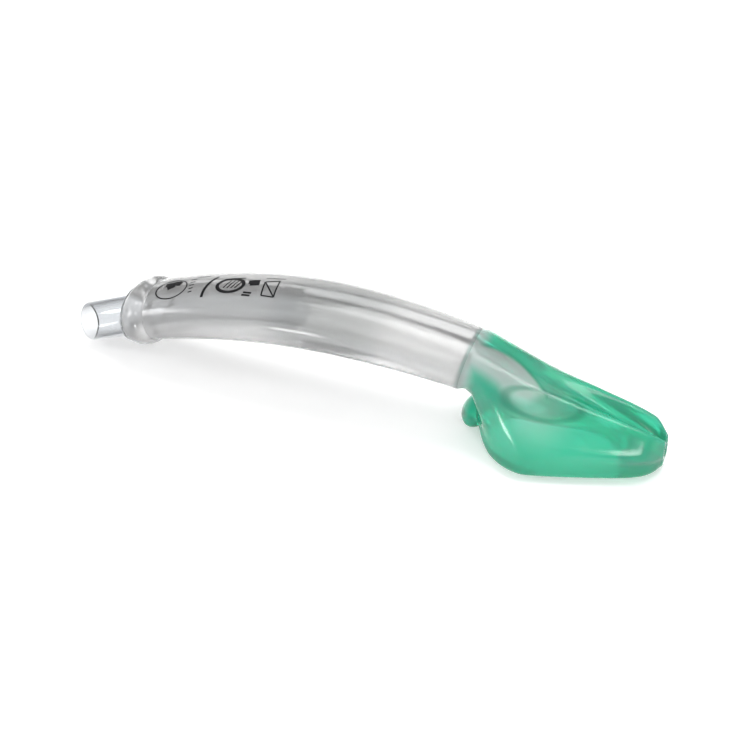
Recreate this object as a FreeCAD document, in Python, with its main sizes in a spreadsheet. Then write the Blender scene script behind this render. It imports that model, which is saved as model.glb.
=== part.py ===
import FreeCAD, Part
import math
import os
import Sketcher
from FreeCAD import Placement, Rotation, Vector

# Laryngeal mask airway, millimetres.
# X runs along the airway from the connector's mouth to the cuff's tip, Z is up from the table that it
# lies on, and the bowl of the cuff faces down. The connector's mouth and the cuff's rim touch the table.

DIMENSIONS = {
    # the standard male cone and the plate that it stands on
    "mouth_diameter": (15.2, "outside of the cone at its mouth"),
    "base_diameter": (15.6, "outside of the cone where it meets the plate"),
    "cone_length": (21.0, "from the mouth to the plate"),
    "airway_bore": (12.3, "bore that the gas flows through"),
    "mouth_chamfer": (0.5, "lead-in round the mouth"),
    "plate_thickness": (2.0, "oval plate that closes the end of the tube"),
    "connector_shift": (2.0, "connector and airway bore beside the middle plane"),
    "stem_wall": (1.55, "wall of the bite block inside the tube"),
    "stem_end": (93.0, "from the mouth to the end of the bite block, along the curve"),
    # the centre line: straight at the connector, then three arcs that bend the same way
    "mouth_pitch": (22.4, "rise of the connector's axis, degrees"),
    "near_arc_length": (36.4, "first arc, along the centre line"),
    "near_arc_radius": (257.0, "first arc"),
    "middle_arc_length": (51.8, "second arc"),
    "middle_arc_radius": (193.0, "second arc"),
    "far_arc_radius": (289.0, "third arc, up to the cuff"),
    # the soft oval tube
    "tube_width": (29.0, "across the tube at its two ends"),
    "belly_width": (33.3, "across the tube half way along"),
    "tube_flatness": (0.65, "depth of the oval for each millimetre of its width"),
    "collar_length": (9.5, "bead round the near end"),
    "collar_stand": (1.7, "how far the bead stands proud"),
    "collar_round": (1.4, "rounding of the bead's edges"),
    "joint_distance": (156.5, "from the mouth to the start of the cuff, along the curve"),
    # the channel beside the airway bore, for a stomach tube
    "gastric_bore": (4.4, "bore of the channel"),
    "gastric_side": (9.9, "channel beside the middle plane, in the tube"),
    "gastric_joint_side": (9.4, "the same where the cuff starts"),
    "gastric_joint_rise": (2.4, "channel above the centre line where the cuff starts"),
    "gastric_cover": (1.6, "gel over the channel along the back of the cuff"),
    "gastric_exit_height": (7.6, "centre of the opening in the tip above the table"),
    # the clear throat that carries the airway bore down to the bowl
    "throat_wall": (1.15, "wall of the throat inside the gel"),
    "throat_bend_radius": (26.0, "bend of the throat's centre line"),
    "outlet_length": (17.0, "opening of the throat in the bowl's ceiling"),
    "outlet_width": (12.8, "the same across"),
    "outlet_centre": (22.5, "its centre past the start of the cuff"),
    # the cuff
    "cuff_length": (72.6, "from the joint to the tip"),
    "cuff_width": (49.6, "widest place of the rim"),
    "heel_width": (13.0, "keel of the cuff where it leaves the tube"),
    "heel_offset": (2.8, "start of the rim past the joint"),
    "widest_offset": (27.0, "widest place past the joint"),
    "nose_offset": (66.5, "where the tip starts to round off, past the joint"),
    "rim_radius": (4.6, "roundness of the rim at its widest"),
    "nose_rim_radius": (4.6, "the same near the tip"),
    "waist": (14.5, "half width of the back over the throat"),
    "nose_waist": (10.2, "the same near the tip"),
    "widest_crest": (27.6, "height of the back at the widest place"),
    "fore_crest": (22.6, "height of the back half way from there to the tip"),
    "nose_crest": (17.4, "height of the back where the tip starts to round off"),
    "tip_crest": (13.2, "height of the back at the tip's end"),
    "nose_valley": (3.6, "depth of the valley between the two lobes near the tip"),
    "tip_half_width": (4.0, "half width of the blunt end"),
    "tip_lift": (1.9, "lowest point of the blunt end above the table"),
    # the hollow of the cuff
    "bowl_length": (49.0, "opening of the bowl at the rim"),
    "bowl_width": (31.0, "the same across"),
    "bowl_centre": (34.5, "centre of that opening past the joint"),
    "ceiling_length": (31.0, "flat ceiling of the bowl"),
    "ceiling_width": (15.0, "the same across"),
    "ceiling_centre": (27.8, "centre of the ceiling past the joint"),
    "ceiling_height": (15.5, "ceiling above the table"),
    # the ridge at the heel that keeps the epiglottis up
    "rest_length": (10.4, "ridge along the airway"),
    "rest_height": (9.6, "ridge from its top to its bottom"),
    "rest_width": (17.0, "ridge across"),
    "rest_offset": (3.6, "its centre past the joint"),
    "rest_centre_height": (5.8, "its centre above the table"),
}

# How finely the smooth skins are described
TUBE_SECTIONS = 8
STEM_SECTIONS = 4
CHANNEL_SECTIONS = 6
CUFF_CHANNEL_STEPS = 8
BORE_SECTIONS = 3
BOWL_LEVELS = 5
OUTLINE_ARCS = 12
OVAL_POINTS = 16
BODY_SECTIONS = 6

# Cuts start this far before the piece that they go into, and run this far past the ceiling of the bowl
LEAD = 0.5
CUT_PAST = 2.0

# Plan of the rim: a round heel over a narrow keel, a taper with a slight bow and a blunt tip
HEEL_ROUND_POWER = 0.8
KEEL_FADE_POWER = 1.5
TAPER_SHARE = 0.58
TAPER_POWER = 1.15
BLUNT_POWER = 12
TIP_PLACES = (0.5, 0.85, 1.0)

# Underside of the heel: share of the tube's height that is left after each further heel offset
HEEL_DROP = (0.72, 0.38, 0.15, 0.04, 0.0)

# Depth of the valley at the joint, the widest place, half way, the nose and the tip
VALLEY_SHARES = (0.0, 0.12, 0.5, 1.0, 0.5)

# Cross-section of the cuff: places on the back as shares of the waist, and on the rim as degrees
SHOULDER_DROP = 0.42
LOBE_TOP = 0.46
LOBE_SIDE = 0.86
LOBE_FALL = 0.55
RIM_TURNS = (38.0, -22.0, -90.0)
RIM_SHARE = 0.6
HEEL_RIM_SHARE = 0.7
TIP_WAIST_SHARE = 0.85
INNER_PLACE = 0.6
INNER_RISE = 0.12
UNDERSIDE_RISE = 0.25

# Way of the stomach channel over the throat: place as a share of the widest offset, and share of its side step
CHANNEL_CROSSING = ((0.4, 0.8), (0.72, 0.44), (1.0, 0.14))

# Turns of the throat in degrees, with how far its depth has grown to that of the outlet
THROAT_TURNS = ((-25.0, 0.05), (-47.0, 0.35))
STRAIGHT_DOWN = -90.0

# The bead's rounding stays under this share of its stand, and is followed at these turns in degrees
ROUND_LIMIT = 0.9
COLLAR_TURNS = (0.0, 45.0, 90.0)


def make_sheet(doc):
    """Put the driving dimensions into a spreadsheet with one alias for each."""
    sheet = doc.addObject("Spreadsheet::Sheet", "sizes")
    for row, (alias, (value, note)) in enumerate(DIMENSIONS.items(), start=1):
        sheet.set(f"A{row}", note)
        sheet.set(f"B{row}", str(value))
        sheet.setAlias(f"B{row}", alias)
    doc.recompute()
    return sheet


class Sizes:
    """Reads the sheet's cells by alias."""

    def __init__(self, sheet):
        self._sheet = sheet

    def __getattr__(self, alias):
        return float(getattr(self._sheet, alias))


doc = FreeCAD.newDocument("laryngeal_mask_airway")
dims = Sizes(make_sheet(doc))


# The centre line and the curves of the cuff

def plate_end():
    """Distance from the mouth to the far face of the plate, where the soft tube starts."""
    return dims.cone_length + dims.plate_thickness


def centre_line(distance):
    """Return x, z and pitch in degrees of the centre line at a distance from the mouth along it."""
    straight = plate_end()
    pitch = math.radians(dims.mouth_pitch)
    x = 0.0
    z = dims.mouth_diameter / 2 * math.cos(pitch) - dims.mouth_chamfer * math.sin(pitch)
    run = min(distance, straight)
    x += run * math.cos(pitch)
    z += run * math.sin(pitch)
    left = distance - run
    arcs = (
        (dims.near_arc_length, dims.near_arc_radius),
        (dims.middle_arc_length, dims.middle_arc_radius),
        (math.inf, dims.far_arc_radius),
    )
    for length, radius in arcs:
        run = min(left, length)
        turned = pitch - run / radius
        x += radius * (math.sin(pitch) - math.sin(turned))
        z += radius * (math.cos(turned) - math.cos(pitch))
        pitch = turned
        left -= run
    return x, z, math.degrees(pitch)


def through(knots, x):
    """Return the value at x of a smooth curve through the knots, level outside them."""
    places, values = zip(*knots)
    if x <= places[0]:
        return values[0]
    if x >= places[-1]:
        return values[-1]
    slopes = []
    last = len(knots) - 1
    for i in range(len(knots)):
        low = max(i - 1, 0)
        high = min(i + 1, last)
        slopes.append((values[high] - values[low]) / (places[high] - places[low]))
    i = max(k for k in range(last) if places[k] <= x)
    span = places[i + 1] - places[i]
    t = (x - places[i]) / span
    ease_out = (1 + 2 * t) * (1 - t) ** 2
    ease_in = t * t * (3 - 2 * t)
    lead = t * (1 - t) ** 2 * span
    trail = -t * t * (1 - t) * span
    return (ease_out * values[i] + ease_in * values[i + 1]
            + lead * slopes[i] + trail * slopes[i + 1])


JOINT_X, JOINT_Z, JOINT_PITCH = centre_line(dims.joint_distance)
TUBE_DEPTH = dims.tube_width * dims.tube_flatness
TIP = dims.cuff_length
FORE_OFFSET = (dims.widest_offset + dims.nose_offset) / 2


def rim_half_width(offset):
    """Half width of the rim in plan: a round heel, a straight taper and a blunt tip."""
    if offset <= dims.widest_offset:
        share = min((dims.widest_offset - offset) / (dims.widest_offset - dims.heel_offset), 1.0)
        keel = dims.heel_width / 2 * (1 - offset / dims.widest_offset) ** KEEL_FADE_POWER
        return math.hypot(dims.cuff_width / 2 * (1 - share ** 2) ** HEEL_ROUND_POWER, keel)
    share = (offset - dims.widest_offset) / (TIP - dims.widest_offset)
    taper = 1 - TAPER_SHARE * share ** TAPER_POWER
    blunt = math.sqrt(max(1 - share ** BLUNT_POWER, 0.0))
    return max(dims.cuff_width / 2 * taper * blunt, dims.tip_half_width)


def crest_height(offset):
    """Height of the two lobes of the back above the table."""
    joint_crest = JOINT_Z + TUBE_DEPTH / 2
    return through([(0.0, joint_crest),
                    (dims.widest_offset, dims.widest_crest),
                    (FORE_OFFSET, dims.fore_crest),
                    (dims.nose_offset, dims.nose_crest),
                    (TIP, dims.tip_crest)], offset)


def valley_depth(offset):
    """Depth of the valley between the lobes."""
    places = (0.0, dims.widest_offset, FORE_OFFSET, dims.nose_offset, TIP)
    depths = [dims.nose_valley * share for share in VALLEY_SHARES]
    return through(list(zip(places, depths)), offset)


def waist_half_width(offset):
    """Half width of the back, above the flare of the rim."""
    return through([(0.0, dims.tube_width / 2),
                    (dims.widest_offset, dims.waist),
                    (dims.nose_offset, dims.nose_waist),
                    (TIP, dims.tip_half_width * TIP_WAIST_SHARE)], offset)


def bottom_height(offset):
    """Lowest point of the cuff: it drops from the tube to the table and lifts again at the tip."""
    joint_bottom = JOINT_Z - TUBE_DEPTH / 2
    knots = [(0.0, joint_bottom)]
    for step, share in enumerate(HEEL_DROP, start=1):
        knots.append((dims.heel_offset * step, joint_bottom * share))
    knots.append((dims.nose_offset, 0.0))
    knots.append((TIP, dims.tip_lift))
    return through(knots, offset)


def rim_round(offset):
    """Radius of the rim's rounding."""
    wanted = through([(0.0, dims.rim_radius * HEEL_RIM_SHARE),
                      (dims.widest_offset, dims.rim_radius),
                      (dims.nose_offset, dims.nose_rim_radius),
                      (TIP, dims.tip_half_width * RIM_SHARE)], offset)
    return min(wanted, rim_half_width(offset) * RIM_SHARE)


def shoulder_drop(offset):
    """How far the shoulder of the back lies below its crest."""
    return min((crest_height(offset) - bottom_height(offset)) * SHOULDER_DROP, TUBE_DEPTH / 2)


def cuff_half_outline(offset):
    """Half of a cross-section of the cuff, from the middle of its back to the middle of its underside."""
    crest = crest_height(offset)
    bottom = bottom_height(offset)
    waist = waist_half_width(offset)
    radius = rim_round(offset)
    drop = shoulder_drop(offset)
    shoulder = crest - drop
    rim = max(rim_half_width(offset), radius / RIM_SHARE)

    def on_rim(degrees):
        angle = math.radians(degrees)
        return rim - radius + radius * math.cos(angle), bottom + radius + radius * math.sin(angle)

    upper, outer, lower = [on_rim(turn) for turn in RIM_TURNS]
    return [
        (0.0, crest - valley_depth(offset)),
        (waist * LOBE_TOP, crest),
        (waist * LOBE_SIDE, shoulder + drop * LOBE_FALL),
        (waist, shoulder),
        ((waist + upper[0]) / 2, (shoulder + upper[1]) / 2),
        upper,
        outer,
        lower,
        (lower[0] * INNER_PLACE, bottom + radius * INNER_RISE),
        (0.0, bottom + radius * UNDERSIDE_RISE),
    ]


def closed_outline(half):
    """Mirror half of a cross-section to the other side, anticlockwise from the middle of the back."""
    return [(-y, z) for y, z in half] + half[-2:0:-1]


# Sketches

def origin_plane(body, role):
    """Return one of the body's own origin planes."""
    return next(f for f in body.Origin.OriginFeatures if f.Role == role)


def new_sketch(body, name, role, offset):
    """Make a sketch on an origin plane of the body, moved by an offset."""
    sketch = body.newObject("Sketcher::SketchObject", name)
    sketch.AttachmentSupport = [(origin_plane(body, role), "")]
    sketch.MapMode = "FlatFace"
    sketch.AttachmentOffset = offset
    return sketch


def cross_sketch(body, name, x, y, z, pitch):
    """Make a sketch across the airway: its x is the part's Y and its normal rises by the pitch."""
    offset = Placement(Vector(y, z, x), Rotation(Vector(1, 0, 0), -pitch))
    return new_sketch(body, name, "YZ_Plane", offset)


def bind(sketch, constraint, expression):
    """Add a constraint and tie its value to the sheet."""
    index = sketch.addConstraint(constraint)
    sketch.setExpression(f"Constraints[{index}]", expression)
    return index


def add_circle(sketch, diameter, expression):
    """Draw a circle about the sketch's origin with its diameter tied to the sheet."""
    circle = sketch.addGeometry(Part.Circle(Vector(), Vector(0, 0, 1), diameter / 2), False)
    sketch.addConstraint(Sketcher.Constraint("Coincident", circle, 3, -1, 1))
    bind(sketch, Sketcher.Constraint("Diameter", circle, diameter), expression)
    return circle


def add_oval(sketch, width, depth, width_expression, depth_expression):
    """Draw an ellipse about the sketch's origin, wider than it is deep, with both sizes tied to the sheet."""
    shape = Part.Ellipse(Vector(width / 2, 0, 0), Vector(0, depth / 2, 0), Vector())
    oval = sketch.addGeometry(shape, False)
    sketch.exposeInternalGeometry(oval)
    sketch.addConstraint(Sketcher.Constraint("Coincident", oval, 3, -1, 1))
    sketch.addConstraint(Sketcher.Constraint("Horizontal", oval + 1))
    bind(sketch, Sketcher.Constraint("Distance", oval + 1, width), width_expression)
    bind(sketch, Sketcher.Constraint("Distance", oval + 2, depth), depth_expression)
    return oval


def add_outline(sketch, points):
    """Draw a closed chain of arcs that follows a smooth curve through the points."""
    curve = Part.BSplineCurve()
    curve.interpolate(Points=[Vector(a, b, 0) for a, b in points], PeriodicFlag=True)
    places = curve.discretize(2 * OUTLINE_ARCS + 1)
    for i in range(0, 2 * OUTLINE_ARCS, 2):
        sketch.addGeometry(Part.Arc(*places[i:i + 3]), False)


def loft(body, kind, name, sketches):
    """Join the sketches of a body by one skin that runs straight between them, added to it or cut from it."""
    feature = body.newObject(f"PartDesign::{kind}Loft", name)
    feature.Profile = sketches[0]
    feature.Sections = sketches[1:]
    feature.Ruled = True
    feature.Refine = False
    for sketch in sketches:
        sketch.Visibility = False
    doc.recompute()
    return feature


def bend_loft(body, kind, name, stations, diameter, expression):
    """Carry a circle along stations, each with x, y, z and pitch, added to the body or cut from it."""
    sketches = []
    for i, (x, y, z, pitch) in enumerate(stations):
        sketch = cross_sketch(body, f"{name}_{i}", x, y, z, pitch)
        add_circle(sketch, diameter, expression)
        sketches.append(sketch)
    return loft(body, kind, name, sketches)


def stem_stations():
    """Sections of the bite block and of its pocket, from the plate to its end."""
    seat = plate_end()
    stations = []
    for i in range(STEM_SECTIONS):
        x, z, pitch = centre_line(seat + (dims.stem_end - seat) * i / (STEM_SECTIONS - 1))
        stations.append((x, -dims.connector_shift, z, pitch))
    return stations


def stem_diameter():
    """Outside of the bite block, which fills its pocket."""
    return dims.airway_bore + 2 * dims.stem_wall


STEM_EXPRESSION = "sizes.airway_bore + 2 * sizes.stem_wall"


# Connector: cone, plate and bite block in one rigid clear moulding

def make_connector():
    body = doc.addObject("PartDesign::Body", "connector")
    body.Label = "connector"
    x, z, pitch = centre_line(0.0)
    length = dims.cone_length

    cone_plane = Placement(Vector(x, z, dims.connector_shift), Rotation(Vector(0, 0, 1), pitch))
    profile = new_sketch(body, "cone_profile", "XZ_Plane", cone_plane)
    bore = dims.airway_bore / 2
    mouth = dims.mouth_diameter / 2
    base = dims.base_diameter / 2
    chamfer = dims.mouth_chamfer
    corners = [
        Vector(0, bore, 0),
        Vector(0, mouth - chamfer, 0),
        Vector(chamfer, mouth, 0),
        Vector(length, base, 0),
        Vector(length, bore, 0),
    ]
    for start, end in zip(corners, corners[1:] + corners[:1]):
        profile.addGeometry(Part.LineSegment(start, end), False)
    count = len(corners)
    for i in range(count):
        profile.addConstraint(Sketcher.Constraint("Coincident", i, 2, (i + 1) % count, 1))
    origin = -1
    profile.addConstraint(Sketcher.Constraint("Vertical", 0))
    profile.addConstraint(Sketcher.Constraint("Vertical", 3))
    profile.addConstraint(Sketcher.Constraint("Horizontal", 4))
    profile.addConstraint(Sketcher.Constraint("PointOnObject", 0, 1, -2))
    bind(profile, Sketcher.Constraint("DistanceY", origin, 1, 0, 1, bore), "sizes.airway_bore / 2")
    bind(profile, Sketcher.Constraint("DistanceY", origin, 1, 1, 2, mouth), "sizes.mouth_diameter / 2")
    bind(profile, Sketcher.Constraint("DistanceY", origin, 1, 2, 2, base), "sizes.base_diameter / 2")
    bind(profile, Sketcher.Constraint("DistanceX", origin, 1, 1, 2, chamfer), "sizes.mouth_chamfer")
    bind(profile, Sketcher.Constraint("DistanceY", 0, 2, 1, 2, chamfer), "sizes.mouth_chamfer")
    bind(profile, Sketcher.Constraint("DistanceX", origin, 1, 2, 2, length), "sizes.cone_length")
    cone = body.newObject("PartDesign::Revolution", "cone")
    cone.Profile = profile
    cone.ReferenceAxis = (profile, ["H_Axis"])
    cone.Angle = 360
    doc.recompute()

    px, pz, _ = centre_line(length)
    plate_sketch = cross_sketch(body, "plate_outline", px, 0, pz, pitch)
    add_oval(plate_sketch, dims.tube_width, TUBE_DEPTH,
             "sizes.tube_width", "sizes.tube_width * sizes.tube_flatness")
    plate = body.newObject("PartDesign::Pad", "plate")
    plate.Profile = plate_sketch
    plate.setExpression("Length", "sizes.plate_thickness")
    doc.recompute()

    bend_loft(body, "Additive", "stem", stem_stations(), stem_diameter(), STEM_EXPRESSION)
    bend_loft(body, "Subtractive", "stem_bore", stem_stations(), dims.airway_bore, "sizes.airway_bore")

    sx, sz, _ = centre_line(plate_end())
    bore_sketch = cross_sketch(body, "bore_outline", sx, -dims.connector_shift, sz, pitch)
    add_circle(bore_sketch, dims.airway_bore, "sizes.airway_bore")
    bore = body.newObject("PartDesign::Pocket", "plate_bore")
    bore.Profile = bore_sketch
    bore.setExpression("Length", "sizes.plate_thickness")
    bore.Reversed = False
    doc.recompute()

    port_sketch = cross_sketch(body, "port_outline", px, dims.gastric_side, pz, pitch)
    add_circle(port_sketch, dims.gastric_bore, "sizes.gastric_bore")
    port = body.newObject("PartDesign::Pocket", "gastric_port")
    port.Profile = port_sketch
    port.setExpression("Length", "sizes.plate_thickness")
    port.Reversed = True
    doc.recompute()
    return body


# Channels and throat

def back_height(offset, side):
    """Height of the back's surface beside the middle plane."""
    share = min(abs(side) / waist_half_width(offset), 1.0)
    fall = shoulder_drop(offset) * (1 - math.sqrt(1 - share ** 2))
    return crest_height(offset) - valley_depth(offset) * (1 - share) - fall


def gastric_in_tube(distance):
    """Centre of the stomach-tube channel in the tube: x, y, z and pitch."""
    x, z, pitch = centre_line(distance)
    half = dims.joint_distance / 2
    side = through([(half, dims.gastric_side), (dims.joint_distance, dims.gastric_joint_side)], distance)
    rise = through([(half, 0.0), (dims.joint_distance, dims.gastric_joint_rise)], distance)
    angle = math.radians(pitch)
    return x - rise * math.sin(angle), side, z + rise * math.cos(angle), pitch


def gastric_in_cuff(offset):
    """Centre of the channel in the cuff: it comes to the middle plane over the throat."""
    joint = gastric_in_tube(dims.joint_distance)
    side_knots = [(0.0, joint[1])]
    for place, share in CHANNEL_CROSSING:
        side_knots.append((dims.widest_offset * place, joint[1] * share))
    side_knots.append((FORE_OFFSET, 0.0))
    below = dims.gastric_cover + dims.gastric_bore / 2
    height_knots = [(0.0, joint[2])]
    for place, side in side_knots[1:] + [(dims.nose_offset, 0.0)]:
        height_knots.append((place, back_height(place, side) - below))
    height_knots.append((TIP, dims.gastric_exit_height))
    return joint[0] + offset, through(side_knots, offset), through(height_knots, offset)


def channel_loft(body, stations):
    """Cut the channel along a list of centres, each with x, y, z and pitch."""
    return bend_loft(body, "Subtractive", f"{body.Name}_channel", stations,
                     dims.gastric_bore, "sizes.gastric_bore")


def throat_sections(wall, overshoot=0.0):
    """Centres, pitches and half sizes of the throat from the joint down to the bowl's ceiling or past it."""
    radius = dims.throat_bend_radius
    bore = dims.airway_bore / 2
    start = math.radians(JOINT_PITCH)
    sections = []
    for pitch, depth_share in ((JOINT_PITCH, 0.0),) + THROAT_TURNS:
        angle = math.radians(pitch)
        x = JOINT_X + radius * (math.sin(start) - math.sin(angle))
        z = JOINT_Z + radius * (math.cos(angle) - math.cos(start))
        share = (pitch - JOINT_PITCH) / (STRAIGHT_DOWN - JOINT_PITCH)
        side = -dims.connector_shift * (1 - share)
        half_width = bore + (dims.outlet_width / 2 - bore) * share
        half_depth = bore + (dims.outlet_length / 2 - bore) * depth_share
        sections.append((x, side, z, pitch, half_width + wall, half_depth + wall))
    outlet = (dims.outlet_width / 2 + wall, dims.outlet_length / 2 + wall)
    x = JOINT_X + dims.outlet_centre
    sections.append((x, 0.0, dims.ceiling_height, STRAIGHT_DOWN, *outlet))
    if overshoot > 0:
        sections.append((x, 0.0, dims.ceiling_height - overshoot, STRAIGHT_DOWN, *outlet))
    return sections


def oval_points(half_width, half_depth):
    """Points of an oval, anticlockwise from its top."""
    angles = [2 * math.pi * i / OVAL_POINTS for i in range(OVAL_POINTS)]
    return [(-half_width * math.sin(angle), half_depth * math.cos(angle)) for angle in angles]


def oval_loft(body, kind, name, sections):
    """Loft ovals, each with its centre, pitch and half sizes, added to the body or cut from it."""
    sketches = []
    for i, (x, y, z, pitch, half_width, half_depth) in enumerate(sections):
        sketch = cross_sketch(body, f"{name}_{i}", x, y, z, pitch)
        add_outline(sketch, oval_points(half_width, half_depth))
        sketches.append(sketch)
    return loft(body, kind, name, sketches)


# Airway tube: a soft oval tube with a bead at the near end and the throat at the far end

def collar_steps():
    """Places along the bead past the plate, each with how far it stands proud there."""
    radius = min(dims.collar_round, dims.collar_stand * ROUND_LIMIT)
    steps = []
    for turn in COLLAR_TURNS:
        angle = math.radians(turn)
        steps.append((radius * (1 - math.cos(angle)), dims.collar_stand - radius * (1 - math.sin(angle))))
    return steps + [(dims.collar_length - distance, stand) for distance, stand in reversed(steps)]


def make_airway_tube():
    body = doc.addObject("PartDesign::Body", "airway_tube")
    body.Label = "airway_tube"
    seat = plate_end()

    sketches = []
    for i in range(TUBE_SECTIONS):
        share = i / (TUBE_SECTIONS - 1)
        x, z, pitch = centre_line(seat + (dims.joint_distance - seat) * share)
        swell = math.sin(math.pi * share)
        width = dims.tube_width + (dims.belly_width - dims.tube_width) * swell
        sketch = cross_sketch(body, f"tube_outline_{i}", x, 0, z, pitch)
        swollen = f"(sizes.tube_width + (sizes.belly_width - sizes.tube_width) * {swell:.4f})"
        add_oval(sketch, width, width * dims.tube_flatness, swollen, f"{swollen} * sizes.tube_flatness")
        sketches.append(sketch)
    loft(body, "Additive", "tube_skin", sketches)

    sketches = []
    for i, (distance, stand) in enumerate(collar_steps()):
        x, z, pitch = centre_line(seat + distance)
        sketch = cross_sketch(body, f"collar_{i}", x, 0, z, pitch)
        add_oval(sketch, dims.tube_width + 2 * stand, TUBE_DEPTH + 2 * stand,
                 f"sizes.tube_width + 2 * {stand:.4f}",
                 f"sizes.tube_width * sizes.tube_flatness + 2 * {stand:.4f}")
        sketches.append(sketch)
    loft(body, "Additive", "collar", sketches)

    oval_loft(body, "Additive", "throat_outside", throat_sections(dims.throat_wall))

    bend_loft(body, "Subtractive", "stem_pocket", stem_stations(), stem_diameter(), STEM_EXPRESSION)

    bore = dims.airway_bore / 2
    side = -dims.connector_shift
    sections = []
    first = dims.stem_end - LEAD
    for i in range(BORE_SECTIONS):
        bx, bz, bore_pitch = centre_line(first + (dims.joint_distance - first) * i / BORE_SECTIONS)
        sections.append((bx, side, bz, bore_pitch, bore, bore))
    oval_loft(body, "Subtractive", "airway_bore", sections + throat_sections(0.0, CUT_PAST))

    first = seat - LEAD
    last = dims.joint_distance
    spots = [first + (last - first) * i / (CHANNEL_SECTIONS - 1) for i in range(CHANNEL_SECTIONS)]
    spots.append(last + LEAD)
    channel_loft(body, [gastric_in_tube(spot) for spot in spots])
    return body


# Cuff: one soft gel moulding with two lobes along its back and a bowl underneath

def cuff_offsets():
    """Places of the cuff's cross-sections past the joint, close together at the heel and the tip."""
    heel = [dims.heel_offset * step for step in range(1, len(HEEL_DROP) + 1)]
    body_step = (dims.nose_offset - heel[-1]) / BODY_SECTIONS
    middle = [heel[-1] + body_step * i for i in range(1, BODY_SECTIONS + 1)]
    tip = [dims.nose_offset + (TIP - dims.nose_offset) * share for share in TIP_PLACES]
    return heel + middle + tip


def make_cuff():
    body = doc.addObject("PartDesign::Body", "cuff")
    body.Label = "cuff"

    joint = cross_sketch(body, "cuff_outline_0", JOINT_X, 0, JOINT_Z, JOINT_PITCH)
    add_outline(joint, oval_points(dims.tube_width / 2, TUBE_DEPTH / 2))
    sketches = [joint]
    for i, offset in enumerate(cuff_offsets(), start=1):
        sketch = cross_sketch(body, f"cuff_outline_{i}", JOINT_X + offset, 0, 0, 0)
        add_outline(sketch, closed_outline(cuff_half_outline(offset)))
        sketches.append(sketch)
    loft(body, "Additive", "cuff_skin", sketches)

    rest = body.newObject("PartDesign::AdditiveEllipsoid", "epiglottic_rest")
    rest.AttachmentSupport = [(origin_plane(body, "XY_Plane"), "")]
    rest.MapMode = "FlatFace"
    rest.AttachmentOffset = Placement(Vector(JOINT_X + dims.rest_offset, 0, dims.rest_centre_height), Rotation())
    rest.setExpression("Radius1", "sizes.rest_height / 2")
    rest.setExpression("Radius2", "sizes.rest_length / 2")
    rest.setExpression("Radius3", "sizes.rest_width / 2")
    doc.recompute()

    oval_loft(body, "Subtractive", "throat_seat",
              throat_sections(dims.throat_wall, CUT_PAST))
    bowl(body)
    channel_loft(body, [cuff_channel_station(offset) for offset in cuff_channel_offsets()])
    return body


def bowl(body):
    """Cut the hollow from just below the rim up to its oval ceiling, steeper towards the top."""
    sketches = []
    for i in range(BOWL_LEVELS):
        share = i / (BOWL_LEVELS - 1)
        spread = math.sqrt(1 - share)
        height = dims.ceiling_height * share if i else -LEAD
        length = dims.ceiling_length + (dims.bowl_length - dims.ceiling_length) * spread
        width = dims.ceiling_width + (dims.bowl_width - dims.ceiling_width) * spread
        centre = dims.ceiling_centre + (dims.bowl_centre - dims.ceiling_centre) * spread
        place = Placement(Vector(JOINT_X + centre, 0, height), Rotation())
        sketch = new_sketch(body, f"bowl_outline_{i}", "XY_Plane", place)
        add_oval(sketch, length, width,
                 f"sizes.ceiling_length + (sizes.bowl_length - sizes.ceiling_length) * {spread:.4f}",
                 f"sizes.ceiling_width + (sizes.bowl_width - sizes.ceiling_width) * {spread:.4f}")
        sketches.append(sketch)
    return loft(body, "Subtractive", "bowl", sketches)


def cuff_channel_offsets():
    """Places of the channel's sections past the joint, the first and last just outside the gel."""
    return [TIP * i / CUFF_CHANNEL_STEPS for i in range(CUFF_CHANNEL_STEPS)] + [TIP + LEAD]


def cuff_channel_station(offset):
    """Centre and pitch of the channel's section at a place past the joint."""
    if offset <= 0:
        x, y, z, pitch = gastric_in_tube(dims.joint_distance - LEAD)
        return x, y, z, pitch
    x, y, z = gastric_in_cuff(offset)
    before = gastric_in_cuff(max(offset - LEAD, 0.0))
    after = gastric_in_cuff(min(offset + LEAD, TIP))
    pitch = math.degrees(math.atan2(after[2] - before[2], after[0] - before[0]))
    return x, y, z, pitch


def stand_on_table(bodies):
    """Move the bodies so that the origin is under the middle of the whole part, on the table."""
    boxes = [body.Shape.optimalBoundingBox(False, False) for body in bodies]
    middle_x = (min(box.XMin for box in boxes) + max(box.XMax for box in boxes)) / 2
    lowest = min(box.ZMin for box in boxes)
    for body in bodies:
        body.Placement = Placement(Vector(-middle_x, 0, -lowest), Rotation())
    doc.recompute()


def check(bodies):
    """Stop unless every object was worked out and every body is one valid solid."""
    for item in doc.Objects:
        if "Invalid" in item.State or "Error" in item.State:
            raise RuntimeError(f"{item.Name} failed: {item.State}")
    for body in bodies:
        shape = body.Shape
        if shape.isNull() or not shape.isValid() or len(shape.Solids) != 1:
            raise RuntimeError(f"{body.Label} is not one valid solid")


parts = [make_connector(), make_airway_tube(), make_cuff()]
stand_on_table(parts)
check(parts)
os.makedirs("parts", exist_ok=True)
for part in parts:
    part.Shape.exportStep(f"parts/{part.Label}.step")
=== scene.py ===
import functools
import math

import bmesh
import bpy
from bpy.props import FloatProperty, FloatVectorProperty, IntProperty, PointerProperty
from mathutils import Matrix, Vector
from mathutils.kdtree import KDTree


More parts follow.
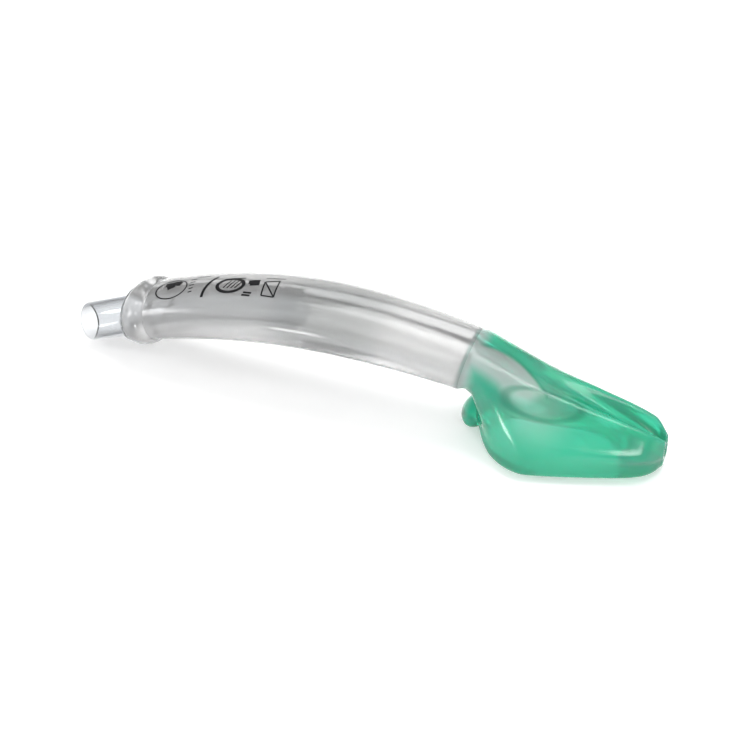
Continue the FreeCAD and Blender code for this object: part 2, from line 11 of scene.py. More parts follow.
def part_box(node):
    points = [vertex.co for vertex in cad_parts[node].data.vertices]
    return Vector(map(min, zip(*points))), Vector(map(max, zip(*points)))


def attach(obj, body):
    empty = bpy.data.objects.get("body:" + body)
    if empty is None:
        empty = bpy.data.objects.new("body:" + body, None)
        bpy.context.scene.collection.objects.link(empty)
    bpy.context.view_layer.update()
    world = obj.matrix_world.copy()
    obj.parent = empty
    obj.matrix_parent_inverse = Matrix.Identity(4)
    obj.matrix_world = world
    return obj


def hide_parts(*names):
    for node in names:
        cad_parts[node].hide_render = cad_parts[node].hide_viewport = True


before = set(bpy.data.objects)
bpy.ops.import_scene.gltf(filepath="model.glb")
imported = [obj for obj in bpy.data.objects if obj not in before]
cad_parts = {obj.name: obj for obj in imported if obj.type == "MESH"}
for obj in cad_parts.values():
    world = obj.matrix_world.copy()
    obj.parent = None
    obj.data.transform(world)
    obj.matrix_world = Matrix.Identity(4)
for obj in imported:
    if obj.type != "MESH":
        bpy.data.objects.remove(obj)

bl_info = {
    "name": "Laryngeal Mask Airway",
    "version": (1, 0, 0),
    "blender": (4, 5, 0),
    "location": "View3D > Sidebar > Airway",
    "description": "Clear connector, soft airway tube and green gel cuff, with their studio",
    "category": "Object",
}

MM = 0.001
ALL_ROUND = 2 * math.pi


def millimetres(name, description, value):
    """A length property whose default is given in millimetres."""
    return FloatProperty(name=name, description=description, default=value * MM,
                         unit="LENGTH", subtype="DISTANCE", precision=5)


def share(name, description, value):
    """A plain number property."""
    return FloatProperty(name=name, description=description, default=value)


def colour(name, description, value):
    """A linear colour property."""
    return FloatVectorProperty(name=name, description=description, default=value,
                               subtype="COLOR", size=3, min=0.0, max=1.0)


class AirwaySizes(bpy.types.PropertyGroup):
    """Sizes of the airway, the same as those of the solids that it stands on."""
    mouth_diameter: millimetres("Mouth Diameter", "Outside of the cone at its mouth", 15.2)
    base_diameter: millimetres("Base Diameter", "Outside of the cone at the plate", 15.6)
    cone_length: millimetres("Cone Length", "From the mouth to the plate", 21.6)
    mouth_chamfer: millimetres("Mouth Chamfer", "Lead-in round the mouth", 0.5)
    plate_thickness: millimetres("Plate Thickness", "Plate that closes the tube", 1.4)
    plate_round: millimetres("Plate Round", "Rounding of the plate's edge", 0.6)
    airway_bore: millimetres("Airway Bore", "Bore that the gas flows through", 12.3)
    connector_shift: millimetres("Connector Shift", "Bore beside the middle plane", 2.0)
    stem_wall: millimetres("Stem Wall", "Wall of the bite block", 1.55)
    stem_end: millimetres("Stem End", "End of the bite block along the curve", 93.0)
    stem_gap: millimetres("Stem Gap", "Film of air round the bite block", 0.12)
    mouth_pitch: FloatProperty(name="Mouth Pitch", description="Rise of the connector's axis",
                               default=math.radians(22.4), unit="ROTATION", subtype="ANGLE")
    near_arc_length: millimetres("Near Arc Length", "First arc along the centre line", 36.4)
    near_arc_radius: millimetres("Near Arc Radius", "First arc", 257.0)
    middle_arc_length: millimetres("Middle Arc Length", "Second arc along the centre line", 51.8)
    middle_arc_radius: millimetres("Middle Arc Radius", "Second arc", 193.0)
    far_arc_radius: millimetres("Far Arc Radius", "Third arc, up to the cuff", 289.0)
    joint_distance: millimetres("Joint Distance", "Start of the cuff along the curve", 156.5)
    tube_width: millimetres("Tube Width", "Across the tube at its ends", 29.0)
    belly_width: millimetres("Belly Width", "Across the tube half way along", 33.3)
    tube_flatness: share("Tube Flatness", "Depth of the oval for its width", 0.65)
    collar_length: millimetres("Collar Length", "Bead round the near end", 9.5)
    collar_stand: millimetres("Collar Stand", "How far the bead stands proud", 1.7)
    gastric_bore: millimetres("Gastric Bore", "Channel for a stomach tube", 4.4)
    gastric_side: millimetres("Gastric Side", "Channel beside the middle plane", 9.9)
    gastric_joint_side: millimetres("Gastric Joint Side", "The same at the cuff", 9.4)
    gastric_joint_rise: millimetres("Gastric Joint Rise", "Channel above the centre line there", 2.4)
    gastric_cover: millimetres("Gastric Cover", "Gel over the channel", 1.6)
    gastric_exit_height: millimetres("Gastric Exit Height", "Opening in the tip above the table", 7.6)
    throat_wall: millimetres("Throat Wall", "Wall of the clear throat inside the gel", 1.15)
    throat_grip: millimetres("Throat Grip", "How far the gel laps the throat", 0.15)
    throat_bend_radius: millimetres("Throat Bend Radius", "Bend of the throat's centre line", 26.0)
    outlet_length: millimetres("Outlet Length", "Opening of the throat in the bowl", 17.0)
    outlet_width: millimetres("Outlet Width", "The same across", 12.8)
    outlet_centre: millimetres("Outlet Centre", "Its centre past the joint", 22.5)


class CuffSizes(bpy.types.PropertyGroup):
    """Sizes of the gel cuff, the same as those of the solid that it stands on."""
    length: millimetres("Length", "From the joint to the tip", 72.6)
    width: millimetres("Width", "Widest place of the rim", 49.6)
    heel_width: millimetres("Heel Width", "Keel where the cuff leaves the tube", 13.0)
    heel_offset: millimetres("Heel Offset", "Start of the rim past the joint", 2.8)
    widest_offset: millimetres("Widest Offset", "Widest place past the joint", 27.0)
    nose_offset: millimetres("Nose Offset", "Where the tip starts to round off", 66.5)
    rim_radius: millimetres("Rim Radius", "Roundness of the rim", 4.6)
    nose_rim_radius: millimetres("Nose Rim Radius", "The same near the tip", 4.6)
    waist: millimetres("Waist", "Half width of the back over the throat", 14.5)
    nose_waist: millimetres("Nose Waist", "The same near the tip", 10.2)
    widest_crest: millimetres("Widest Crest", "Height of the back at the widest place", 27.6)
    fore_crest: millimetres("Fore Crest", "Height of the back half way to the tip", 22.6)
    nose_crest: millimetres("Nose Crest", "Height of the back near the tip", 17.4)
    tip_crest: millimetres("Tip Crest", "Height of the back at the tip", 13.2)
    nose_valley: millimetres("Nose Valley", "Valley between the two lobes", 3.6)
    tip_half_width: millimetres("Tip Half Width", "Half width of the blunt end", 4.0)
    tip_lift: millimetres("Tip Lift", "Lowest point of the blunt end", 1.9)
    bowl_length: millimetres("Bowl Length", "Opening of the bowl at the rim", 49.0)
    bowl_width: millimetres("Bowl Width", "The same across", 31.0)
    bowl_centre: millimetres("Bowl Centre", "Its centre past the joint", 34.5)
    ceiling_length: millimetres("Ceiling Length", "Ceiling of the bowl", 31.0)
    ceiling_width: millimetres("Ceiling Width", "The same across", 15.0)
    ceiling_centre: millimetres("Ceiling Centre", "Its centre past the joint", 27.8)
    ceiling_height: millimetres("Ceiling Height", "Ceiling above the table", 15.5)
    rest_length: millimetres("Rest Length", "Ridge at the heel along the airway", 10.4)
    rest_height: millimetres("Rest Height", "The same from top to bottom", 9.6)
    rest_width: millimetres("Rest Width", "The same across", 17.0)
    rest_offset: millimetres("Rest Offset", "Its centre past the joint", 3.0)
    rest_centre_height: millimetres("Rest Centre Height", "Its centre above the table", 5.8)
    ring_step: millimetres("Ring Step", "Between two sections of the cuff", 0.9)
    blend_length: millimetres("Blend Length", "Change from the tube's oval to the cuff's form", 4.0)
    pale_offset: millimetres("Pale Offset", "Paler patch of the flank past the joint", 28.0)
    pale_side: millimetres("Pale Side", "The same beside the middle plane", 13.0)
    pale_height: millimetres("Pale Height", "The same above the table", 21.0)
    pale_reach: millimetres("Pale Reach", "How far it spreads", 18.0)
    outlet_line_offset: millimetres("Outlet Line Offset", "Outlet as it shows through the gel", 30.0)
    outlet_line_side: millimetres("Outlet Line Side", "The same beside the middle plane", -10.5)
    outlet_line_length: millimetres("Outlet Line Length", "Half its length", 13.5)
    outlet_line_width: millimetres("Outlet Line Width", "Half its width", 3.8)
    outlet_line_turn: FloatProperty(name="Outlet Line Turn", description="How far it is turned in plan",
                                    default=math.radians(12.0), unit="ROTATION", subtype="ANGLE")


class CoatSizes(bpy.types.PropertyGroup):
    """How finely the pieces are meshed, and their finish."""
    ring_points: IntProperty(name="Ring Points", description="Points round a section", default=128)
    step: millimetres("Step", "Between two sections along the tube", 2.0)
    gel_voxel: millimetres("Gel Voxel", "Size of the voxels that the gel is skinned with", 0.45)
    gel_smoothing: IntProperty(name="Gel Smoothing", description="Rounds of smoothing", default=14)
    clear: colour("Clear", "Rigid clear plastic", (0.72, 0.735, 0.75))
    # Painted shade: near black, for the dark surroundings that the connector's edges reflect
    clear_edge_shade: colour("Clear Edge", "The same seen edge on", (0.008, 0.014, 0.022))
    soft: colour("Soft", "Soft clear tube", (0.97, 0.968, 0.96))
    # Partly painted shade: greyer where the soft tube is seen edge on
    soft_edge_depth_and_shade: colour("Soft Edge", "The same seen edge on", (0.45, 0.46, 0.455))
    soft_skin: colour("Soft Skin", "The same on its outside", (0.681, 0.681, 0.681))
    soft_dark: colour("Soft Dark", "Its outside half way along", (0.4, 0.41, 0.41))
    soft_roughness: share("Soft Roughness", "Polish of the soft tube", 0.13)
    soft_clearness: share("Soft Clearness", "Share of the light that passes the tube's skin", 0.8)
    gel: colour("Gel", "Green gel", (0.135, 0.735, 0.535))
    gel_edge: colour("Gel Edge", "The same seen edge on", (0.03, 0.56, 0.35))
    gel_line: colour("Gel Line", "Edges of the throat that show through the gel", (0.06, 0.36, 0.26))
    gel_pale: colour("Gel Pale", "Where the clear tube lies in the gel", (0.6, 0.84, 0.75))
    gel_roughness: share("Gel Roughness", "Polish of the gel", 0.15)
    gel_density: share("Gel Density", "How fast the gel takes up light", 110.0)
    gel_absorption: colour("Gel Absorption", "What passes a depth of gel", (0.05, 0.86, 0.74))
    gel_clearness: share("Gel Clearness", "Share of the light that passes the gel's skin", 0.68)
    fade_length: millimetres("Fade Length", "Change from clear to green", 6.0)
    ink: colour("Ink", "Print on the tube", (0.006, 0.006, 0.007))
    paper: colour("Paper", "Floor of the studio", (0.86, 0.86, 0.86))


class CameraPlace(bpy.types.PropertyGroup):
    """Where the photograph was taken from."""
    azimuth: FloatProperty(name="Azimuth", description="Turn from the front",
                           default=math.radians(20.5), unit="ROTATION", subtype="ANGLE")
    elevation: FloatProperty(name="Elevation", description="Height over the table",
                             default=math.radians(38.6), unit="ROTATION", subtype="ANGLE")
    distance: millimetres("Distance", "From the point that it looks at", 587.8)
    aim: FloatVectorProperty(name="Aim", description="Point that it looks at", subtype="XYZ", size=3,
                             unit="LENGTH", default=(0.01372, -0.02395, 0.03174), precision=5)
    lens: FloatProperty(name="Lens", description="Focal length on a 36 mm sensor, millimetres",
                        default=81.14)


# Where the airway runs

def sizes():
    """The scene's sizes of the airway."""
    return bpy.context.scene.airway_sizes


def cuff_sizes():
    """The scene's sizes of the cuff."""
    return bpy.context.scene.airway_cuff


def coats():
    """The scene's finishes."""
    return bpy.context.scene.airway_coats


def plate_end():
    """Distance from the mouth to the far face of the plate, where the soft tube starts."""
    return sizes().cone_length + sizes().plate_thickness


@functools.cache
def mouth_centre():
    """Centre of the mouth, worked out from the corner of the connector's box."""
    low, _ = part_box("connector")
    pitch = sizes().mouth_pitch
    radius = sizes().mouth_diameter / 2
    chamfer = sizes().mouth_chamfer
    x = low.x + (radius - chamfer) * math.sin(pitch)
    z = low.z + radius * math.cos(pitch) - chamfer * math.sin(pitch)
    return x, z


def centre_line(distance):
    """Return x, z and pitch of the centre line at a distance from the mouth along it."""
    size = sizes()
    x, z = mouth_centre()
    pitch = size.mouth_pitch
    straight = min(distance, plate_end())
    x += straight * math.cos(pitch)
    z += straight * math.sin(pitch)
    left = distance - straight
    arcs = (
        (size.near_arc_length, size.near_arc_radius),
        (size.middle_arc_length, size.middle_arc_radius),
        (math.inf, size.far_arc_radius),
    )
    for length, radius in arcs:
        run = min(left, length)
        turned = pitch - run / radius
        x += radius * (math.sin(pitch) - math.sin(turned))
        z += radius * (math.cos(turned) - math.cos(pitch))
        pitch = turned
        left -= run
    return x, z, pitch


def directions(pitch):
    """Unit vectors along the airway and over it, at its pitch there."""
    along = Vector((math.cos(pitch), 0, math.sin(pitch)))
    over = Vector((-math.sin(pitch), 0, math.cos(pitch)))
    return along, over


def section_frame(distance, side, half_width, half_depth):
    """Matrix that carries a unit circle to an oval across the airway."""
    x, z, pitch = centre_line(distance)
    along, over = directions(pitch)
    across = Vector((0, 1, 0))
    place = Matrix((across * half_width, over * half_depth, along)).transposed().to_4x4()
    place.translation = Vector((x, side, z))
    return place


def tube_half_width(distance):
    """Half width of the soft tube's oval at a distance from the mouth."""
    size = sizes()
    share_along = (distance - plate_end()) / (size.joint_distance - plate_end())
    swell = math.sin(math.pi * min(max(share_along, 0.0), 1.0))
    return (size.tube_width + (size.belly_width - size.tube_width) * swell) / 2


# The curves of the cuff

# Plan of the rim, underside of the heel, valley and cross-section, as shares of the sizes above,
# powers of those shares, and turns in degrees
HEEL_ROUND_POWER = 0.8
KEEL_FADE_POWER = 1.5
TAPER_SHARE = 0.58
TAPER_POWER = 1.15
BLUNT_POWER = 12
HEEL_DROP = (0.72, 0.38, 0.15, 0.04, 0.0)
VALLEY_SHARES = (0.0, 0.12, 0.7, 1.5, 1.1)
SHOULDER_DROP = 0.42
LOBE_TOP = 0.46
LOBE_SIDE = 0.86
LOBE_FALL = 0.55
RIM_TURNS = (38.0, -22.0, -90.0)
RIM_SHARE = 0.6
BULGE_SHARE = 0.16
BULGE_RISE = 0.8
HEEL_RIM_SHARE = 0.7
TIP_WAIST_SHARE = 0.85
INNER_PLACE = 0.6
INNER_RISE = 0.12
UNDERSIDE_RISE = 0.25

# Way of the stomach channel over the throat: share of the way to the widest place, and of its start
CHANNEL_CROSSING = ((0.4, 0.8), (0.72, 0.44), (1.0, 0.14))
CURVE_STEPS = 12


def through(knots, x):
    """Return the value at x of a smooth curve through the knots, level outside them."""
    places, values = zip(*knots)
    if x <= places[0]:
        return values[0]
    if x >= places[-1]:
        return values[-1]
    last = len(knots) - 1
    slopes = []
    for i in range(len(knots)):
        low = max(i - 1, 0)
        high = min(i + 1, last)
        slopes.append((values[high] - values[low]) / (places[high] - places[low]))
    i = max(k for k in range(last) if places[k] <= x)
    span = places[i + 1] - places[i]
    t = (x - places[i]) / span
    ease_out = (1 + 2 * t) * (1 - t) ** 2
    ease_in = t * t * (3 - 2 * t)
    lead = t * (1 - t) ** 2 * span
    trail = -t * t * (1 - t) * span
    return ease_out * values[i] + ease_in * values[i + 1] + lead * slopes[i] + trail * slopes[i + 1]


def table_height():
    """Height of the table in the frame. The cuff's sizes count heights from the table."""
    _, z = mouth_centre()
    pitch = sizes().mouth_pitch
    return z - sizes().mouth_diameter / 2 * math.cos(pitch) + sizes().mouth_chamfer * math.sin(pitch)


def joint():
    """Centre and pitch of the end of the tube, where the gel starts, with heights from the table."""
    x, z, pitch = centre_line(sizes().joint_distance)
    return x, z - table_height(), pitch


def joint_depth():
    """Depth of the tube's oval where the gel starts."""
    return sizes().tube_width * sizes().tube_flatness


def fore_offset():
    """Half way from the cuff's widest place to where its tip rounds off."""
    return (cuff_sizes().widest_offset + cuff_sizes().nose_offset) / 2


def rim_half_width(offset):
    """Half width of the rim in plan: a round heel, a straight taper and a blunt tip."""
    cuff = cuff_sizes()
    if offset <= cuff.widest_offset:
        part = min((cuff.widest_offset - offset) / (cuff.widest_offset - cuff.heel_offset), 1.0)
        keel = cuff.heel_width / 2 * (1 - offset / cuff.widest_offset) ** KEEL_FADE_POWER
        return math.hypot(cuff.width / 2 * (1 - part ** 2) ** HEEL_ROUND_POWER, keel)
    part = (offset - cuff.widest_offset) / (cuff.length - cuff.widest_offset)
    taper = 1 - TAPER_SHARE * part ** TAPER_POWER
    blunt = math.sqrt(max(1 - part ** BLUNT_POWER, 0.0))
    return max(cuff.width / 2 * taper * blunt, cuff.tip_half_width)


def crest_height(offset):
    """Height of the two lobes of the back above the table."""
    cuff = cuff_sizes()
    return through([(0.0, joint()[1] + joint_depth() / 2),
                    (cuff.widest_offset, cuff.widest_crest),
                    (fore_offset(), cuff.fore_crest),
                    (cuff.nose_offset, cuff.nose_crest),
                    (cuff.length, cuff.tip_crest)], offset)


def valley_depth(offset):
    """Depth of the valley between the lobes."""
    cuff = cuff_sizes()
    places = (0.0, cuff.widest_offset, fore_offset(), cuff.nose_offset, cuff.length)
    return through([(p, cuff.nose_valley * d) for p, d in zip(places, VALLEY_SHARES)], offset)


def waist_half_width(offset):
    """Half width of the back, above the flare of the rim."""
    cuff = cuff_sizes()
    return through([(0.0, sizes().tube_width / 2),
                    (cuff.widest_offset, cuff.waist),
                    (cuff.nose_offset, cuff.nose_waist),
                    (cuff.length, cuff.tip_half_width * TIP_WAIST_SHARE)], offset)


def bottom_height(offset):
    """Lowest point of the cuff: it drops from the tube to the table and lifts again at the tip."""
    cuff = cuff_sizes()
    joint_bottom = joint()[1] - joint_depth() / 2
    knots = [(0.0, joint_bottom)]
    for step, part in enumerate(HEEL_DROP, start=1):
        knots.append((cuff.heel_offset * step, joint_bottom * part))
    return through(knots + [(cuff.nose_offset, 0.0), (cuff.length, cuff.tip_lift)], offset)


def rim_round(offset):
    """Radius of the rim's rounding."""
    cuff = cuff_sizes()
    wanted = through([(0.0, cuff.rim_radius * HEEL_RIM_SHARE),
                      (cuff.widest_offset, cuff.rim_radius),
                      (cuff.nose_offset, cuff.nose_rim_radius),
                      (cuff.length, cuff.tip_half_width * RIM_SHARE)], offset)
    return min(wanted, rim_half_width(offset) * RIM_SHARE)


def shoulder_drop(offset):
    """How far the shoulder of the back lies below its crest."""
    return min((crest_height(offset) - bottom_height(offset)) * SHOULDER_DROP, joint_depth() / 2)


def cuff_outline(offset):
    """Places across and over of a cross-section, anticlockwise from the middle of the back."""
    crest = crest_height(offset)
    bottom = bottom_height(offset)
    waist = waist_half_width(offset)
    radius = rim_round(offset)
    drop = shoulder_drop(offset)
    shoulder = crest - drop
    rim = max(rim_half_width(offset), radius / RIM_SHARE)

    def on_rim(degrees):
        angle = math.radians(degrees)
        return rim - radius + radius * math.cos(angle), bottom + radius + radius * math.sin(angle)

    upper, outer, lower = [on_rim(turn) for turn in RIM_TURNS]
    bulge = drop * BULGE_SHARE
    half = [
        (0.0, crest - valley_depth(offset)),
        (waist * LOBE_TOP, crest),
        (waist * LOBE_SIDE, shoulder + drop * LOBE_FALL),
        ((waist + upper[0]) / 2 + bulge, (shoulder + upper[1]) / 2 + bulge * BULGE_RISE),
        upper,
        outer,
        lower,
        (lower[0] * INNER_PLACE, bottom + radius * INNER_RISE),
        (0.0, bottom + radius * UNDERSIDE_RISE),
    ]
    return [(-y, z) for y, z in half] + half[-2:0:-1]


def smooth_loop(points, count):
    """A closed smooth curve through the points, as a number of places spread evenly along it."""
    knots = [Vector(point) for point in points]
    total = len(knots)
    fine = []
    for i in range(total):
        before, start, end, after = [knots[(i + k) % total] for k in (-1, 0, 1, 2)]
        first = math.sqrt((start - before).length)
        span = math.sqrt((end - start).length)
        last = math.sqrt((after - end).length)
        leave = ((start - before) / first - (end - before) / (first + span)
                 + (end - start) / span) * span
        reach = ((end - start) / span - (after - start) / (span + last)
                 + (after - end) / last) * span
        for k in range(CURVE_STEPS):
            t = k / CURVE_STEPS
            fine.append((1 + 2 * t) * (1 - t) ** 2 * start + t * t * (3 - 2 * t) * end
                        + t * (1 - t) ** 2 * leave - t * t * (1 - t) * reach)
    fine.append(fine[0])
    run = [0.0]
    for before, after in zip(fine, fine[1:]):
        run.append(run[-1] + (after - before).length)
    spread = []
    at = 0
    for i in range(count):
        wanted = run[-1] * i / count
        while run[at + 1] < wanted:
            at += 1
        t = (wanted - run[at]) / (run[at + 1] - run[at])
        spread.append(fine[at].lerp(fine[at + 1], t))
    return spread


def back_height(offset, side):
    """Height of the back's surface beside the middle plane."""
    part = min(abs(side) / waist_half_width(offset), 1.0)
    fall = shoulder_drop(offset) * (1 - math.sqrt(1 - part ** 2))
    return crest_height(offset) - valley_depth(offset) * (1 - part) - fall


def gastric_in_tube(distance):
    """Place of the stomach channel across the airway and over its centre line."""
    size = sizes()
    half = size.joint_distance / 2
    side = through([(half, size.gastric_side), (size.joint_distance, size.gastric_joint_side)], distance)
    rise = through([(half, 0.0), (size.joint_distance, size.gastric_joint_rise)], distance)
    return side, rise


def gastric_in_cuff(offset):
    """Centre of the channel in the cuff: it comes to the middle plane over the throat."""
    size = sizes()
    cuff = cuff_sizes()
    x, z, pitch = joint()
    start_side, start_rise = gastric_in_tube(size.joint_distance)
    side_knots = [(0.0, start_side)]
    for place, part in CHANNEL_CROSSING:
        side_knots.append((cuff.widest_offset * place, start_side * part))
    side_knots.append((fore_offset(), 0.0))
    below = size.gastric_cover + size.gastric_bore / 2
    height_knots = [(0.0, z + start_rise * math.cos(pitch))]
    for place, side in side_knots[1:] + [(cuff.nose_offset, 0.0)]:
        height_knots.append((place, back_height(place, side) - below))
    height_knots.append((cuff.length, size.gastric_exit_height))
    start_x = x - start_rise * math.sin(pitch)
    return Vector((start_x + offset, through(side_knots, offset), through(height_knots, offset)))


# Mesh making

def sweep(bm, frames, segments):
    """Carry a circle through the frames in a new bmesh and close both ends."""
    bmesh.ops.create_circle(bm, segments=segments, radius=1.0, matrix=frames[0])
    loop = bm.edges[:]
    ends = [loop]
    for before, after in zip(frames, frames[1:]):
        grown = bmesh.ops.extrude_edge_only(bm, edges=loop)["geom"]
        verts = {item for item in grown if isinstance(item, bmesh.types.BMVert)}
        loop = [item for item in grown if isinstance(item, bmesh.types.BMEdge)
                and item.verts[0] in verts and item.verts[1] in verts]
        bmesh.ops.transform(bm, matrix=after @ before.inverted(), verts=list(verts))
    ends.append(loop)
    for end in ends:
        bmesh.ops.edgeloop_fill(bm, edges=end)


def finish_mesh(bm, name):
    """Turn the bmesh into an object in the scene, with its normals outwards."""
    bmesh.ops.recalc_face_normals(bm, faces=bm.faces)
    mesh = bpy.data.meshes.new(name)
    bm.to_mesh(mesh)
    bm.free()
    piece = bpy.data.objects.new(name, mesh)
    bpy.context.scene.collection.objects.link(piece)
    return piece


def swept_piece(name, frames, segments=None):
    """A closed piece from a circle that is carried through the frames."""
    bm = bmesh.new()
    sweep(bm, frames, segments or coats().ring_points)
    return finish_mesh(bm, name)


def settle(piece):
    """Work out the piece's modifiers into its mesh."""
    graph = bpy.context.evaluated_depsgraph_get()
    mesh = bpy.data.meshes.new_from_object(piece.evaluated_get(graph), depsgraph=graph)
    piece.modifiers.clear()
    old = piece.data
    piece.data = mesh
    bpy.data.meshes.remove(old)
    mesh.name = piece.name


def boolean(piece, others, operation):
    """Join other pieces to this one or cut them from it, and drop them."""
    for other in others:
        modifier = piece.modifiers.new(other.name, "BOOLEAN")
        modifier.operation = operation
        modifier.solver = "EXACT"
        modifier.object = other
    settle(piece)
    for other in others:
        bpy.data.objects.remove(other)


SHARP_EDGE = 38.0
ALL_SMOOTH = 180.0


def shade(piece, degrees=SHARP_EDGE):
    """Shade the piece smooth, but for the edges that are sharper than the angle."""
    bm = bmesh.new()
    bm.from_mesh(piece.data)
    for face in bm.faces:
        face.smooth = True
    limit = math.radians(degrees)
    for edge in bm.edges:
        edge.smooth = len(edge.link_faces) != 2 or edge.calc_face_angle(0.0) < limit
    bm.to_mesh(piece.data)
    bm.free()


def drop_crumbs(piece, fewest):
    """Delete loose crumbs of a skin, with fewer vertices than the number."""
    bm = bmesh.new()
    bm.from_mesh(piece.data)
    left = set(bm.verts)
    crumbs = []
    while left:
        group = {left.pop()}
        front = set(group)
        while front:
            front = {edge.other_vert(vert) for vert in front for edge in vert.link_edges} & left
            left -= front
            group |= front
        if len(group) < fewest:
            crumbs.extend(group)
    bmesh.ops.delete(bm, geom=crumbs, context="VERTS")
    bm.to_mesh(piece.data)
    bm.free()


def ring_edges(bm, ring):
    """Edges between the vertices of a ring, in order."""
    return [bm.edges.get((vert, after)) for vert, after in zip(ring, ring[1:] + ring[:1])]


def skin(name, outlines):
    """Join closed outlines, all with as many places, into one closed piece."""
    bm = bmesh.new()
    ring = bmesh.ops.create_circle(bm, segments=len(outlines[0]), radius=1.0)["verts"]
    ends = []
    for number, outline in enumerate(outlines):
        if number:
            grown = bmesh.ops.extrude_edge_only(bm, edges=ring_edges(bm, ring))["geom"]
            fresh = {item for item in grown if isinstance(item, bmesh.types.BMVert)}
            ring = [next(edge.other_vert(vert) for edge in vert.link_edges
                         if edge.other_vert(vert) in fresh) for vert in ring]
        for vert, place in zip(ring, outline):
            vert.co = place
        if number in (0, len(outlines) - 1):
            ends.append(ring_edges(bm, ring))
    for end in ends:
        bmesh.ops.edgeloop_fill(bm, edges=end)
    return finish_mesh(bm, name)


def distances(start, end):
    """Places from start to end, about a step apart."""
    count = max(2, math.ceil((end - start) / coats().step))
    return [start + (end - start) * i / count for i in range(count + 1)]


def lumen(name, start, end, side, radius):
    """A round rod along the airway, for a bore or a pocket."""
    return swept_piece(name, [section_frame(d, side, radius, radius) for d in distances(start, end)])


def oval_frame(centre, direction, half_width, half_depth):
    """Matrix that carries a unit circle to an oval square to a direction, with its width level."""
    along = direction.normalized()
    over = along.cross(Vector((0, 1, 0))).normalized()
    across = over.cross(along)
    place = Matrix((across * half_width, over * half_depth, along)).transposed().to_4x4()
    place.translation = centre + Vector((0, 0, table_height()))
    return place


# Turns of the throat in degrees, each with how far its depth has grown from the bore's to the outlet's
THROAT_TURNS = ((-25.0, 0.05), (-47.0, 0.35))
STRAIGHT_DOWN = -90.0
LEAST_OVERSHOOT = 0.1 * MM


def throat_frames(wall, overshoot):
    """Ovals of the throat from the joint down to the bowl's ceiling and past it."""
    size = sizes()
    radius = size.throat_bend_radius
    bore = size.airway_bore / 2
    start_x, start_z, start = joint()
    rows = []
    for turn, depth_share in ((math.degrees(start), 0.0),) + THROAT_TURNS:
        angle = math.radians(turn)
        part = (turn - math.degrees(start)) / (STRAIGHT_DOWN - math.degrees(start))
        rows.append((start_x + radius * (math.sin(start) - math.sin(angle)),
                     -size.connector_shift * (1 - part),
                     start_z + radius * (math.cos(angle) - math.cos(start)),
                     angle,
                     bore + (size.outlet_width / 2 - bore) * part,
                     bore + (size.outlet_length / 2 - bore) * depth_share))
    x = start_x + size.outlet_centre
    ceiling = cuff_sizes().ceiling_height
    outlet = (math.radians(STRAIGHT_DOWN), size.outlet_width / 2, size.outlet_length / 2)
    rows.append((x, 0.0, ceiling, *outlet))
    rows.append((x, 0.0, ceiling - max(overshoot, LEAST_OVERSHOOT), *outlet))
    frames = []
    steps = CURVE_STEPS * (len(rows) - 1)
    for i in range(steps + 1):
        x, side, z, angle, half_width, half_depth = [
            through(list(enumerate(column)), i / CURVE_STEPS) for column in zip(*rows)]
        along, _ = directions(angle)
        frames.append(oval_frame(Vector((x, side, z)), along, half_width + wall, half_depth + wall))
    return frames


# Numbers for each vertex, for the materials to read

LINE_SAMPLES = 600
OUTSIDE_SHARE = 0.97

# The tube's outside is darker half way along: millimetres from the mouth, and how dark
DARK_STRETCH = ((78.0, 0.0), (82.0, 0.14), (86.0, 0.38), (90.0, 0.58), (94.0, 0.7), (100.0, 0.75),
                (110.0, 0.75), (116.0, 0.69), (120.0, 0.57), (124.0, 0.38), (128.0, 0.14), (132.0, 0.0))


def near_tree(places):
    """A tree that finds the nearest one of the places."""
    tree = KDTree(len(places))
    for i, place in enumerate(places):
        tree.insert(place, i)
    tree.balance()
    return tree


def store_numbers(mesh, name, values):
    """Keep a number for each vertex under a name."""
    mesh.attributes.new(name, "FLOAT", "POINT").data.foreach_set("value", values)


def mark_tube(piece):
    """Store which vertices are on the tube's outside, and how dark the tube is there."""
    flatness = sizes().tube_flatness
    step = sizes().joint_distance / LINE_SAMPLES
    line = [centre_line(step * i) for i in range(LINE_SAMPLES + 1)]
    tree = near_tree([(x, 0, z) for x, z, _ in line])
    outside = []
    dark = []
    for vert in piece.data.vertices:
        flat = Vector((vert.co.x, 0, vert.co.z))
        _, nearest, _ = tree.find(flat)
        x, z, pitch = line[nearest]
        along, _ = directions(pitch)
        distance = step * nearest + (flat - Vector((x, 0, z))).dot(along)
        x, z, pitch = centre_line(distance)
        _, over = directions(pitch)
        half_width = tube_half_width(distance)
        across_share = vert.co.y / half_width
        over_share = (flat - Vector((x, 0, z))).dot(over) / (half_width * flatness)
        outside.append(1.0 if math.hypot(across_share, over_share) > OUTSIDE_SHARE else 0.0)
        dark.append(through(DARK_STRETCH, distance / MM))
    store_numbers(piece.data, "outside", outside)
    store_numbers(piece.data, "dark", dark)


# Clear tongue of the throat in the gel, in plan: millimetres past the joint and beside the middle plane
TONGUE_FAR = ((0.0, 1.0), (4.0, 0.0), (10.0, 1.5), (17.6, 1.0), (24.0, -2.5), (29.3, -6.8), (31.0, -8.2))
TONGUE_NEAR = ((0.0, -14.5), (3.5, -12.6), (13.0, -12.8), (17.0, -14.0), (24.0, -13.0), (31.0, -8.2))
TONGUE_END = 31.0
TONGUE_TAPER = 6.0
FAR_FADE = (-2.2, 0.6)
NEAR_FADE = (-3.0, 1.0)

# How steeply a place has to lie over the throat to be on the tongue, from not at all to fully
TONGUE_RISE = (-0.6, -0.1)
TONGUE_CLEAREST = 0.9
TONGUE_FAINTEST = 0.35
PALE_SHARE = 0.7

# The throat's lines show on the back only, over this height in millimetres
LINE_HEIGHT = 17.0
NO_LINE = 100.0


